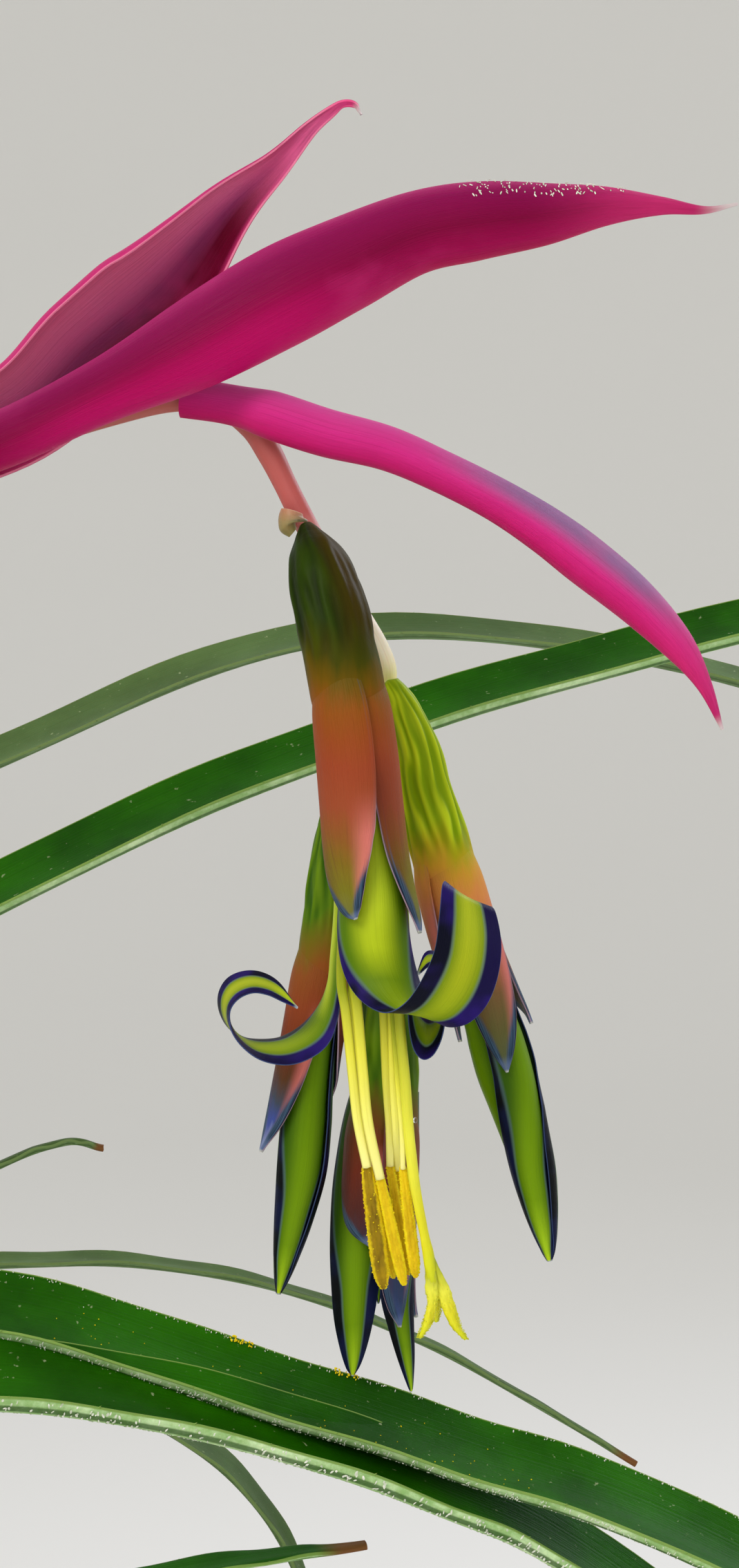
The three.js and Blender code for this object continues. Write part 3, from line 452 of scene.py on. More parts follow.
def curve(points, share):
    """Points on a smooth curve through all of the given ones, evenly spaced by number"""
    inner = np.array(points, float)
    line = np.vstack([2 * inner[0] - inner[1], inner, 2 * inner[-1] - inner[-2]])
    place = np.clip(share, 0, 1) * (len(inner) - 1)
    start = np.minimum(place.astype(int), len(inner) - 2)
    part = (place - start)[:, None]
    a, b, c, d = line[start], line[start + 1], line[start + 2], line[start + 3]
    bent = part ** 2 * (a - 2.5 * b + 2 * c - 0.5 * d)
    return b + 0.5 * part * (c - a) + bent + part ** 3 * (1.5 * b - 1.5 * c + 0.5 * d - 0.5 * a)


def unit(vectors):
    return vectors / np.linalg.norm(vectors, axis=-1, keepdims=True)


def heading(points, share):
    step = 1e-4
    return unit(curve(points, share + step) - curve(points, share - step))


def smoothstep(value):
    value = np.clip(value, 0, 1)
    return value * value * (3 - 2 * value)


def blade_form(keys, rows, columns, curls=(), ripple=None):
    """Places of a blade's points. A key is a point, its hollow side, half its width and its bend.

    A curl turns one margin up further: its side, where it starts and its angle."""
    across = np.linspace(-1, 1, columns + 1)
    along = np.linspace(0, 1, rows + 1)
    middle_points = [key[0] for key in keys]
    middle = curve(middle_points, along)
    forward = heading(middle_points, along)
    hollow = curve([key[1] for key in keys], along)
    hollow = unit(hollow - forward * (hollow * forward).sum(axis=1, keepdims=True))
    sideways = np.cross(forward, hollow)
    half, bend = curve([(key[2], key[3]) for key in keys], along).T
    spread = np.radians(bend)
    arc = half / np.sin(np.minimum(spread, math.pi / 2)) * spread
    slope = spread[:, None] * across
    for side, start, angle in curls:
        slope = slope + side * math.radians(angle) * smoothstep((across * side - start) / (1 - start))
    gap = across[1] - across[0]
    reach = []
    for part in (np.cos(slope), np.sin(slope)):
        run = np.cumsum((part[:, 1:] + part[:, :-1]) / 2 * gap, axis=1)
        run = np.hstack([np.zeros((rows + 1, 1)), run])
        reach.append(((run - run[:, [columns // 2]]) * arc[:, None])[..., None])
    form = middle[:, None] + sideways[:, None] * reach[0] + hollow[:, None] * reach[1]
    if ripple:
        size, waves, power = ripple
        lift = size * np.sin(along * waves * 2 * math.pi)[:, None] * np.abs(across) ** power
        form += hollow[:, None] * lift[..., None]
    return form


def sheet(name, form, thickness, rim=0.35):
    """A thin closed blade over a form, thinner at its margins. Its hollow side has under = 0"""
    rows, columns = form.shape[0] - 1, form.shape[1] - 1
    piece, column, row = grid(name, columns, rows)
    set_points(piece, form[row, column])
    body = piece.vertex_groups.new(name="body")
    weights = 1 - (1 - rim) * np.abs(2 * column / columns - 1) ** 4
    for number, weight in enumerate(weights):
        body.add([number], float(weight), "REPLACE")
    wall = piece.modifiers.new("wall", "SOLIDIFY")
    wall.thickness = thickness * MM
    wall.offset = 0
    wall.vertex_group = "body"
    apply_modifiers(piece)
    count = len(piece.data.vertices)
    side = piece.data.attributes.new("under", "FLOAT", "POINT")
    side.data.foreach_set("value", [0.0] * (count // 2) + [1.0] * (count - count // 2))
    smooth(piece, 70)
    return piece


def join(pieces):
    """Makes one piece of several. The first one gives it its name"""
    bpy.ops.object.select_all(action="DESELECT")
    for piece in pieces:
        piece.select_set(True)
    bpy.context.view_layer.objects.active = pieces[0]
    if len(pieces) > 1:
        bpy.ops.object.join()
    return pieces[0]


def thorns(name, form, seed):
    """Small forward thorns on both margins of a leaf, with the leaf's own UV"""
    draw = random.Random(seed)
    points, faces, uvs = [], [], []
    for side in (0, -1):
        margin = form[:, side]
        inner = form[:, 1 if side == 0 else -2]
        travel = np.concatenate([[0], np.cumsum(np.linalg.norm(np.diff(margin, axis=0), axis=1))])
        place = 30.0
        while place < travel[-1] - 12:
            share = np.interp(place, travel, np.linspace(0, 1, len(travel)))
            row = min(int(share * (len(margin) - 1)), len(margin) - 2)
            along = unit(margin[row + 1] - margin[row])
            outward = unit(margin[row] - inner[row])
            normal = np.cross(outward, along)
            base = curve(margin, np.array([share]))[0] - 0.12 * outward
            size = THORN_SIZE * draw.uniform(0.7, 1.2)
            start = len(points)
            points += [base - 0.45 * size * along, base + 0.15 * normal, base + 0.45 * size * along]
            points += [base - 0.15 * normal, base + size * outward + 0.8 * size * along]
            faces += [[start, start + 1, start + 4], [start + 1, start + 2, start + 4]]
            faces += [[start + 2, start + 3, start + 4], [start + 3, start, start + 4]]
            faces += [[start + 3, start + 2, start + 1, start]]
            uvs += [(0.0 if side == 0 else 1.0, share)] * 16
            place += THORN_SPACING * draw.uniform(0.7, 1.35)
    mesh = bpy.data.meshes.new(name)
    mesh.from_pydata(np.array(points) * MM, [], faces)
    layer = mesh.uv_layers.new(name="UVMap")
    layer.data.foreach_set("uv", np.array(uvs).ravel())
    piece = bpy.data.objects.new(name, mesh)
    bpy.context.collection.objects.link(piece)
    return piece


def leaf_keys(shoot, azimuth, ring, points, roll):
    """Blade keys of a leaf in the upright plane through its shoot, from [out, height, half, bend]"""
    x, y, _ = SHOOTS[shoot]
    turn = math.radians(azimuth)
    away = np.array([math.cos(turn), math.sin(turn), 0])
    half = ring * math.sin(math.radians(SHEATH_BEND))
    sheath = [(ring, SHEATH_FOOT, half, SHEATH_BEND), (ring, SHEATH_TOP, half, SHEATH_BEND)]
    rows = sheath + list(points)
    spine = [np.array([x, y, height]) + out * away for out, height, _, _ in rows]
    forward = heading(spine, np.linspace(0, 1, len(rows)))
    keys = []
    for number, (_, _, width, bend) in enumerate(rows):
        hollow = np.cross(forward[number], [-math.sin(turn), math.cos(turn), 0])
        rolled = math.radians(roll) * min(1, max(0, (number - 1) / 4))
        side = np.cross(forward[number], hollow)
        hollow = hollow * math.cos(rolled) + side * math.sin(rolled)
        keys.append((spine[number], hollow, width, bend))
    return keys


def leaf_finish(name, inner, inner_dark, under, silver, margin):
    """Glossy parallel-veined green inside, mottled silver scurf beneath, brown at the tip"""
    leaf = Finish(name, {"Subsurface Weight": 0.08, "Subsurface Scale": 0.001, "Specular IOR Level": 0.05})
    across, along = leaf.across_and_along()
    edge = leaf.math("ABSOLUTE", leaf.math("SUBTRACT", across, 0.5))
    veins = leaf.noise(1, kind="UV", stretch=(42, 1.5, 1), detail=4)
    mottle = leaf.noise(70, detail=5)
    inside = leaf.mix(leaf.rise(mottle, 0.3, 0.7), tint(inner_dark), tint(inner))
    inside = leaf.mix(leaf.math("MULTIPLY", leaf.rise(veins, 0.5, 0.75), 0.6), inside, tint(inner_dark))
    fleck = leaf.rise(leaf.noise(1500, detail=3), 0.68, 0.74)
    inside = leaf.mix(leaf.math("MULTIPLY", fleck, 0.35), inside, tint("C9D6A8"))
    scurf = leaf.noise(1300, stretch=(1, 1, 1), detail=6, rough=0.7)
    bands = leaf.noise(9, kind="UV", stretch=(0.2, 5, 1), detail=2)
    silvering = leaf.math("ADD", leaf.rise(scurf, 0.35, 0.75), leaf.rise(bands, 0.45, 0.65))
    beneath = leaf.mix(leaf.math("MULTIPLY", silvering, 0.5), tint(under), tint(silver))
    groove = leaf.math("MULTIPLY", leaf.rise(edge, 0.375, 0.39), leaf.rise(edge, 0.45, 0.43))
    beneath = leaf.mix(leaf.math("MULTIPLY", groove, 0.75), beneath, tint(inner_dark))
    colour = leaf.mix(leaf.attribute("under"), inside, beneath)
    colour = leaf.mix(leaf.rise(edge, 0.484, 0.499), colour, tint(margin))
    dry = leaf.math("ADD", along, leaf.math("MULTIPLY", leaf.noise(90), 0.03))
    colour = leaf.mix(leaf.rise(dry, 0.975, 1.0), colour, tint("7A5230"))
    rough = leaf.math("ADD", leaf.math("MULTIPLY", leaf.attribute("under"), 0.25), 0.4)
    relief = leaf.math("ADD", leaf.math("MULTIPLY", veins, 0.7), leaf.math("MULTIPLY", scurf, 0.5))
    return leaf.finish(colour, rough, relief, 0.0001)


# Each leaf: name, shoot, azimuth, ring, roll, margin curl and points of [out, height, half width, bend]
LONG_LEAVES = [
    ("leaf_long_over", "middle", 14, 4.6, 24, (1, 0.70, 62), [
        (9, 168, 5.0, 40), (24, 212, 4.6, 34), (52, 252, 4.4, 32), (88, 285, 4.4, 30),
        (131, 309.9, 4.5, 28), (165, 324.3, 4.5, 28), (201, 334.4, 4.4, 28), (240, 342.4, 4.1, 26),
        (278, 344.5, 3.5, 24), (311, 335.6, 2.5, 22), (336, 317, 0.25, 20)]),
    ("leaf_long_under", "middle", 2, 8.2, 24, (1, 0.76, 66), [
        (11.5, 156, 6.0, 40), (27, 203, 5.6, 32), (54, 241, 5.4, 30), (82, 265.5, 5.4, 28),
        (107, 277.0, 5.3, 28), (130, 275.8, 5.2, 28), (149.3, 269.9, 5.2, 28), (168.2, 263.8, 5.1, 28),
        (188, 256.4, 4.9, 28), (224, 236, 4.2, 26), (255, 210, 2.8, 24), (279, 182, 0.25, 20)]),
    ("leaf_long_lower", "front", 12, 3.0, 32, (1, 0.5, 84), [
        (7, 162, 4.6, 40), (26, 204, 4.4, 30), (58, 239, 4.4, 26), (96, 261.6, 4.6, 22),
        (130, 271.8, 4.9, 20), (156, 271.6, 5.0, 20), (175, 267.8, 4.9, 20), (192, 261.6, 4.7, 20),
        (206, 254.0, 4.4, 20), (236, 230.5, 3.5, 20), (262, 205, 2.2, 20), (281, 182, 0.25, 20)]),
    ("leaf_back_high", "back", 11, 3.0, 15, None, [
        (9, 172, 4.6, 40), (30, 228, 4.4, 34), (66, 274, 4.3, 32), (108, 304, 4.3, 30),
        (144, 322.3, 4.4, 28), (176, 334.4, 4.5, 26), (208, 333.0, 4.4, 26), (238, 323.8, 4.0, 24),
        (272, 303, 3.0, 22), (300, 272, 2.0, 20), (318, 240, 0.25, 20)]),
    ("leaf_back_young", "back", 10, 4.8, 0, None, [
        (9, 160, 3.8, 40), (26, 196, 3.2, 34), (56, 228, 2.6, 32), (92, 253, 2.0, 30),
        (124, 271.5, 1.4, 24), (142, 281.6, 1.0, 20), (150, 284.6, 0.7, 20), (154, 284.0, 0.35, 20)]),
    ("leaf_back_middle", "back", 16, 6.6, 6, None, [
        (11, 160, 4.4, 40), (30, 192, 4.0, 32), (62, 226, 3.6, 30), (100, 254, 3.2, 28),
        (130, 268.2, 2.8, 26), (152, 270.8, 2.5, 24), (172, 268.1, 2.2, 24), (190, 261.4, 1.8, 22),
        (206, 252.4, 1.1, 20), (215, 246.8, 0.3, 20)]),
    ("leaf_back_low", "back", 5, 8.4, 14, None, [
        (13.5, 150, 4.6, 40), (34, 185, 4.2, 32), (67, 221, 4.0, 30), (104, 250, 3.8, 28),
        (134, 262.5, 3.4, 26), (154, 261.0, 2.8, 24), (167, 252.5, 2.2, 24), (174, 239, 1.4, 22),
        (177, 224, 0.3, 20)]),
    ("leaf_front_low", "front", 16, 4.8, 12, None, [
        (8, 154, 4.4, 40), (26, 190, 4.0, 30), (62, 218, 3.8, 28), (104, 237, 3.4, 28),
        (140, 247.2, 2.8, 26), (172, 253.2, 1.9, 24), (189, 254.8, 0.5, 20)]),
]

green_leaf = leaf_finish("green leaf", "266A00", "154600", "96C078", "E0FACA", "7EA050")
pale_leaf = leaf_finish("sage leaf", "587440", "425A2E", "5A7646", "7E9A6A", "6E8652")
leaf_forms = {}
for name, shoot, azimuth, ring, roll, curl, points in LONG_LEAVES:
    keys = leaf_keys(shoot, azimuth, ring, points, roll)
    form = blade_form(keys, 160, 16, [curl] if curl else [], (0.12, 17, 3))
    leaf_forms[name] = form
    leaf = sheet(name + "_strap", form, LEAF_THICKNESS)
    leaf = join([leaf, thorns(name + "_thorns", form, len(leaf_forms))])
    pale = name.startswith("leaf_back")
    dress(leaf, pale_leaf if pale else green_leaf, "pale_leaf" if pale else "green_leaf", name)

# Arched leaves
# The other leaves of the three shoots. They rise from their nested bases, arch over and hang
# at the tip. One rule of reach, height and drop bends them all.
ARCHED_LEAVES = [
    ("middle", 194, 4.6, 205, 322, 70, 4.4), ("middle", 86, 6.4, 190, 300, 92, 4.6),
    ("middle", 216, 6.5, 222, 300, 112, 4.8), ("middle", 172, 8.2, 236, 292, 128, 5.0),
    ("middle", 318, 10.0, 176, 240, 92, 5.2), ("middle", 158, 10.0, 228, 262, 128, 5.2),
    ("middle", 276, 12.2, 200, 236, 112, 5.2), ("middle", 38, 12.2, 172, 222, 84, 5.0),
    ("back", 188, 3.0, 196, 318, 66, 3.8), ("back", 122, 4.8, 176, 290, 84, 4.0),
    ("back", 154, 6.6, 206, 262, 112, 4.4), ("back", 112, 8.4, 186, 244, 102, 4.4),
    ("back", 64, 10.7, 178, 218, 84, 4.6), ("front", 232, 3.0, 190, 292, 72, 3.8),
    ("front", 268, 5.0, 172, 262, 96, 4.2), ("front", 194, 6.9, 210, 238, 112, 4.4),
    ("front", 308, 8.6, 158, 216, 82, 4.4),
]

for number, (shoot, azimuth, ring, reach, height, drop, half) in enumerate(ARCHED_LEAVES, 1):
    knee = 170 - 2.8 * ring
    rise = height - knee
    points = [
        (ring + 3, knee, half + 1, 44), (ring + 0.15 * reach, knee + 0.5 * rise, half, 34),
        (ring + 0.38 * reach, knee + 0.88 * rise, half, 30), (ring + 0.6 * reach, height, half, 28),
        (ring + 0.8 * reach, height - 0.26 * drop, 0.8 * half, 26),
        (ring + 0.94 * reach, height - 0.68 * drop, 0.5 * half, 24), (ring + reach, height - drop, 0.25, 20),
    ]
    form = blade_form(leaf_keys(shoot, azimuth, ring, points, 0), 100, 10, (), (0.12, 12, 3))
    name = f"leaf_arched_{number:02d}"
    leaf = sheet(name + "_strap", form, LEAF_THICKNESS)
    leaf = join([leaf, thorns(name + "_thorns", form, 40 + number)])
    dress(leaf, green_leaf, "green_leaf", name)

# Flower stalk
# A slender fleshy stalk, green at its foot and peach pink towards the flowers, which zigzags
# from flower to flower. It is one tube with faint ribs, and a pale scale clasps its first node.
STALK = [
    (0, 0, 104.6, 2.5), (0, 0, 150, 2.5), (0.5, 0, 192, 2.4), (6, 0, 234, 2.3), (22, 0, 272, 2.2),
    (50, 0, 305, 2.0), (84, 0, 329, 1.8), (117.5, 0.2, 344.4, 1.6), (129.9, 0.6, 347.8, 1.4),
    (138.3, 1.6, 350.4, 1.3), (143.9, 2.2, 351.7, 1.25), (147.8, 2.1, 351.2, 1.2),
    (150.4, 1.6, 349.3, 1.15), (151.9, 1.3, 346.9, 1.05), (153.1, 1.1, 344.5, 0.95),
    (154.4, 0.9, 341.9, 0.95), (156.4, 1.0, 338.4, 0.85), (158.9, 1.6, 334.4, 0.8),
    (160.9, 2.6, 331.0, 0.8), (161.4, 3.9, 328.8, 0.85), (160.7, 5.0, 326.4, 0.8),
    (159.3, 5.3, 323.1, 0.75), (158.2, 5.3, 320.0, 0.8), (159.5, 7.4, 316.8, 0.75),
    (161.2, 9.2, 311.0, 0.75), (161.1, 9.5, 305.4, 0.9),
]
# Middle of the scale's back, half its width and how far it wraps, from its foot to its rim
NODE_SCALE = [
    ((153.6, -1.2, 340.1), 0.45, 110), ((152.95, -1.3, 340.6), 1.0, 122), ((152.8, -1.25, 341.2), 1.2, 128),
    ((152.85, -1.25, 341.8), 1.15, 126), ((153.0, -1.2, 342.3), 0.95, 118),
]
SCALE_FACES = (0.9, 0.44, 0)


def tube(name, rows, steps, sides, relief=None):
    """A closed round form along rows of (x, y, z, radius). Relief gives its ridges as a share"""
    piece, column, row = grid(name, sides, steps + 2)
    share = np.clip((np.arange(steps + 3) - 1) / steps, 0, 1)
    centre = curve([entry[:3] for entry in rows], share)
    forward = heading([entry[:3] for entry in rows], share)
    radius = curve([(entry[3], 0) for entry in rows], share)[:, 0]
    radius[0] = radius[-1] = 0
    centre[0] -= forward[0] * rows[0][3] * 0.3
    centre[-1] += forward[-1] * rows[-1][3] * 0.3
    front = np.array([0, -1, 0]) - forward * -forward[:, [1]]
    front = unit(front)
    beside = np.cross(forward, front)
    angle = 2 * math.pi * column / sides
    ridge = relief(angle, share[row]) if relief else np.zeros(len(angle))
    reach = (radius[row] * (1 + ridge))[:, None]
    around = front[row] * np.cos(angle)[:, None] + beside[row] * np.sin(angle)[:, None]
    set_points(piece, centre[row] + around * reach)
    piece.data.attributes.new("relief", "FLOAT", "POINT").data.foreach_set("value", ridge)
    bpy.ops.object.mode_set(mode="EDIT")
    bpy.ops.mesh.select_all(action="SELECT")
    bpy.ops.mesh.remove_doubles(threshold=0.000002)
    bpy.ops.mesh.normals_make_consistent(inside=False)
    bpy.ops.object.mode_set(mode="OBJECT")
    smooth(piece, 80)
    return piece


def fleshy(name, stops, streak, depth=0.00006, clear=0.3):
    """Soft plant flesh with fine lengthwise streaks, coloured along its length"""
    flesh = Finish(name, {
        "Roughness": 0.42, "Subsurface Weight": clear, "Subsurface Scale": 0.0015,
        "Subsurface Radius": (1.0, 0.5, 0.3), "Specular IOR Level": 0.25})
    _, along = flesh.across_and_along()
    base = flesh.ramp(along, stops)
    streaks = flesh.noise(1, kind="UV", stretch=(30, 12, 1), detail=5)
    colour = flesh.mix(flesh.math("MULTIPLY", flesh.rise(streaks, 0.45, 0.75), 0.2), base, tint(streak))
    return flesh.finish(colour, None, flesh.noise(1100, stretch=(1, 1, 0.25), detail=4), depth)


stalk = tube("stalk_stem", STALK, 300, 24, lambda angle, share: 0.03 * np.cos(9 * angle))
stalk_flesh = fleshy("stalk flesh", [
    (0.0, "5F7A2E"), (0.16, "8A7A40"), (0.3, "B4625A"), (0.6, "BC5E5C"), (0.67, "FAE8E0"), (0.72, "FCF4D8"),
    (0.77, "EEE48C"), (1.0, "A9A650"),
], "B0463A")
dress(stalk, stalk_flesh, "stalk", "flower_stalk")
scale_flesh = fleshy("node scale", [(0.0, "7E8050"), (0.5, "90845C"), (1.0, "AC7C66")], "6F5A38", clear=0.5)
scale_keys = [(back, SCALE_FACES, half, wrap) for back, half, wrap in NODE_SCALE]
node_scale = sheet("stalk_node_scale", blade_form(scale_keys, 32, 32), 0.16)
dress(node_scale, scale_flesh, "stalk")

# Bracts
# Three thin pink boat-shaped bracts stand round the bend of the stalk: one behind, open to the
# front, one in front that sweeps to a white dry tip, and one lower that curves down to the right.
BRACT_THICKNESS = 0.4
BRACT_BEHIND = [
    (106, 0.2, 339.8, 2.8, 95), (117.5, 1.4, 345.2, 3.8, 90), (130.3, 3.2, 350.3, 4.4, 90),
    (136.8, 3.8, 356.2, 4.9, 92), (142.3, 3.8, 360.9, 4.9, 92), (148.2, 3.0, 367.3, 2.6, 86),
    (152.3, 2.2, 370.8, 1.3, 80), (155.0, 1.6, 373.5, 0.7, 70), (156.8, 1.2, 374.9, 0.5, 60),
    (157.8, 0.9, 375.5, 0.36, 50), (158.8, 0.8, 375.4, 0.3, 40), (159.3, 0.8, 374.6, 0.15, 30),
]
BRACT_FRONT = [
    (117.5, 0.1, 344.4, 2.4, 90), (124, -0.1, 346.2, 2.4, 90), (130.2, -0.6, 347.9, 2.3, 88),
    (137.8, -1.6, 351.4, 2.55, 86), (145, -2.8, 354.8, 3.6, 84), (152.5, -3.2, 358.9, 4.1, 82),
    (158.1, -3.2, 361.7, 3.85, 82), (163.6, -3.1, 364.2, 3.35, 82), (168.6, -3.0, 365.2, 3.2, 82),
    (174, -2.8, 365.8, 2.6, 80), (179, -2.5, 366.5, 1.65, 76), (183.5, -2.2, 366.6, 0.75, 70),
    (187, -2.0, 366.3, 0.35, 50), (189.7, -2.0, 366.8, 0.12, 30),
]
BRACT_LOWER = [
    (144.6, 2.1, 351.6, 1.9, 60), (148.5, 0.9, 350.9, 1.8, 64), (151.6, -0.9, 350.0, 2.0, 74),
    (156.4, -1.5, 348.4, 1.95, 78), (161.4, -1.8, 347.1, 1.8, 78), (165.8, -2.0, 345.2, 1.7, 78),
    (170.3, -2.2, 342.9, 1.75, 78), (174.1, -2.4, 340.5, 1.95, 76), (177.4, -2.6, 338.0, 2.1, 74),
    (181.3, -2.7, 334.8, 1.95, 70), (184.7, -2.8, 331.3, 1.5, 64), (186.9, -2.8, 328.0, 0.8, 50),
    (188.4, -2.8, 324.4, 0.15, 30),
]


def bract_keys(rows, opening):
    """Blade keys from the centre, radius and bend of a boat's round section"""
    keys = []
    for x, y, z, radius, bend in rows:
        at = np.array([x, y, z]) - np.array(opening) * radius
        keys.append((at, opening, radius * math.sin(min(math.radians(bend), math.pi / 2)), bend))
    return keys


def bract_finish(name, outside, inside, patch, tip, patch_inside=False):
    """Striped waxy pink. Outside and inside have colours across, and a patch changes one along. The behind bract's
    inside colours are painted light and shade, and the lower bract's patch is a painted sheen
    """
    bract = Finish(name, {
        "Roughness": 0.4, "Subsurface Weight": 0.15, "Subsurface Scale": 0.0012,
        "Subsurface Radius": (1.0, 0.25, 0.4), "Specular IOR Level": 0.07,
        "Sheen Weight": 0.02, "Sheen Roughness": 0.4, "Sheen Tint": tint("E8C6E6")})
    across, along = bract.across_and_along()
    outer = bract.ramp(across, outside)
    inner = bract.ramp(across, inside)
    colour = bract.mix(bract.attribute("under"), inner, outer)
    start, full, fade, end, low, high, patch_colour = patch
    place = bract.math("MULTIPLY", bract.rise(along, start, full), bract.rise(along, end, fade))
    place = bract.math("MULTIPLY", place, bract.rise(across, low, high))
    face = bract.attribute("under")
    if patch_inside:
        face = bract.math("SUBTRACT", 1.0, face)
    colour = bract.mix(bract.math("MULTIPLY", place, face), colour, tint(patch_colour))
    veins = bract.noise(1, kind="UV", stretch=(58, 2.5, 1), detail=4)
    colour = bract.mix(bract.math("MULTIPLY", bract.rise(veins, 0.5, 0.8), 0.35), colour, tint("80063E"))
    cloud = bract.noise(120, detail=3)
    colour = bract.mix(bract.math("MULTIPLY", bract.rise(cloud, 0.5, 0.75), 0.22), colour, tint("E04090"))
    edge = bract.math("ABSOLUTE", bract.math("SUBTRACT", across, 0.5))
    colour = bract.mix(bract.rise(edge, 0.485, 0.5), colour, tint("F084A8"))
    flush = bract.rise(along, tip[0] - 0.24, tip[0] - 0.02)
    colour = bract.mix(bract.math("MULTIPLY", flush, 0.75), colour, tint("E43682"))
    colour = bract.mix(bract.rise(along, *tip), colour, tint("F8E6E8"))
    fine = bract.noise(1, kind="UV", stretch=(110, 6, 1), detail=3)
    return bract.finish(colour, None, fine, 0.00008)


bract_behind = sheet("bract_behind_boat", blade_form(
    bract_keys(BRACT_BEHIND, (0, -1, 0)), 120, 36, [(-1, 0.5, 34)], (0.05, 6, 3)), BRACT_THICKNESS)
# The behind bract's inside colours across are painted light and shade: pale lilac pink near one margin where light
# falls into the hollow, dark maroon painted shade past its middle, then pink again at the far margin.
dress(bract_behind, bract_finish(
    "bract behind", [(0.0, "C42272"), (0.2, "BC1C6A"), (0.6, "A00C50"), (1.0, "C93066")],
    [(0.0, "FA9AC4"), (0.24, "EE84B4"), (0.38, "CC649A"), (0.48, "8A3468"), (0.6, "5C0022"), (0.8, "620024"),
     (0.9, "B02A66"), (1.0, "EC5494")],
    (0.44, 0.6, 1.1, 1.2, 0.0, 0.01, "E2649C"), (0.88, 0.99), True), "pink_bract", "bract_behind")

front_form = blade_form(bract_keys(BRACT_FRONT, (0, 1, 0)), 130, 36, [(1, 0.8, 10), (-1, 0.8, 10)])
bract_front = sheet("bract_front_boat", front_form, BRACT_THICKNESS)
dress(bract_front, bract_finish(
    "bract front", [(0.0, "B4004C"), (0.22, "A60052"), (0.45, "7C003A"), (0.72, "86044E"), (0.92, "AE1C6C"),
                    (1.0, "D6488C")],
    [(0.0, "A01458"), (1.0, "800A40")], (0.12, 0.22, 0.34, 0.52, 0.62, 0.2, "C40A68"), (0.9, 0.985)),
    "pink_bract", "bract_front")

bract_lower = sheet("bract_lower_boat", blade_form(
    bract_keys(BRACT_LOWER, (0, 1, 0)), 120, 32, [(1, 0.8, 12)]), BRACT_THICKNESS)
# The lower bract's lavender-grey patch along its upper side is a painted sheen, light glancing off its waxy face.
dress(bract_lower, bract_finish(
    "bract lower", [(0.0, "B40A56"), (0.2, "CE1870"), (0.5, "D42E8A"), (0.85, "D04898"), (1.0, "E866A6")],
    [(0.0, "A01458"), (1.0, "800A40")], (0.36, 0.54, 0.72, 0.86, 0.42, 0.74, "94689A"), (0.97, 1.0)),
    "pink_bract", "bract_lower")

# Stalk bracts
# Three narrow dry pink bracts clasp the stalk lower down, as such plants have, one above the
# other on different sides. Each is a boat whose margins meet round the stalk at its foot.
CLASP = 3.4
STALK_BRACTS = [
    ("bract_stalk_top", 206, 52, 0, 8), ("bract_stalk_middle", 158, 46, 150, 7),
    ("bract_stalk_bottom", 112, 42, -40, 6),
]
CLASP_SHAPE = [(0, 104, 0), (0.2, 100, 0), (0.45, 84, 0.06), (0.7, 60, 0.3), (0.88, 34, 0.64), (1, 8, 1)]


def measured(points, count=2000):
    """A curve by its length: gives its place and its direction at a distance along it"""
    share = np.linspace(0, 1, count)
    line = curve(points, share)
    travel = np.concatenate([[0], np.cumsum(np.linalg.norm(np.diff(line, axis=0), axis=1))])

    def at(distance):
        part = np.array([np.interp(distance, travel, share)])
        return curve(points, part)[0], heading(points, part)[0]

    return at


def turned_about(vector, axis, angle):
    """A vector turned about a unit axis by an angle in degrees"""
    turn = math.radians(angle)
    beside = np.cross(axis, vector)
    return vector * math.cos(turn) + beside * math.sin(turn) + axis * (axis @ vector) * (1 - math.cos(turn))


stalk_bract_flesh = bract_finish(
    "stalk bract", [(0.0, "C8467A"), (0.5, "B8346A"), (1.0, "C8467A")], [(0.0, "C85C84"), (1.0, "A83A68")],
    (0.0, 0.2, 0.6, 0.9, 0.0, 0.01, "C46A80"), (0.9, 1.0))
along_stalk = measured([entry[:3] for entry in STALK])
for name, start, length, side, stand in STALK_BRACTS:
    keys = []
    for part, bend, off in CLASP_SHAPE:
        point, forward = along_stalk(start + length * part)
        outward = turned_about(-np.cross(forward, [0, 1, 0]), forward, side)
        half = CLASP * math.sin(min(math.radians(bend), math.pi / 2))
        keys.append((point + outward * (CLASP + stand * off), -outward, max(half, 0.15), bend))
    boat = sheet(name + "_boat", blade_form(keys, 72, 24), BRACT_THICKNESS)
    dress(boat, stalk_bract_flesh, "pink_bract", name)

# Ovaries
# Below each flower stalk sits a swollen ribbed ovary, dark olive on the open flower and glossy
# lime on the younger ones, turning orange where the sepals start. The ribs are real relief.
FLOWER_AXES = {
    1: [(154.9, -1.4, 340.8), (155.5, -3.0, 338.8), (156.4, -4.5, 335.7), (157.2, -5.4, 332.7),
        (157.7, -5.8, 330.2), (158.2, -6.0, 327.7), (158.7, -6.3, 324.1), (159.1, -6.5, 320.2),
        (159.4, -6.7, 316.4), (159.7, -6.8, 313.1), (160.2, -7.0, 309.3), (160.7, -7.1, 305.5)],
    2: [(161.6, 1.9, 328.3), (162.5, 2.0, 326.4), (163.7, 2.1, 323.1), (164.5, 2.3, 319.3),
        (165.7, 2.4, 315.2), (167.0, 2.6, 310.1), (168.4, 2.6, 305.6), (170.0, 2.6, 300.7),
        (171.3, 2.6, 296.2), (172.5, 2.6, 292.0), (173.4, 2.6, 288.5), (174.2, 2.6, 284.3),
        (174.8, 2.6, 280.7)],
    3: [(157.0, 6.4, 318.6), (157.0, 6.2, 315.4), (156.8, 6.2, 310.5), (156.4, 6.2, 305.9),
        (155.9, 6.2, 301.9), (155.2, 6.0, 297.3), (154.7, 6.0, 292.8), (154.2, 6.0, 287.6),
        (153.6, 6.0, 283.9), (153.0, 6.0, 280.7), (152.4, 6.0, 277.6)],
    4: [(161.1, 9.6, 304.9), (161.2, 9.4, 301.8), (161.3, 9.2, 297.7), (161.3, 9.0, 293.1),
        (161.1, 8.8, 287.3), (160.8, 8.6, 281.5), (160.6, 8.6, 276.9), (160.6, 8.6, 272.3)],
}
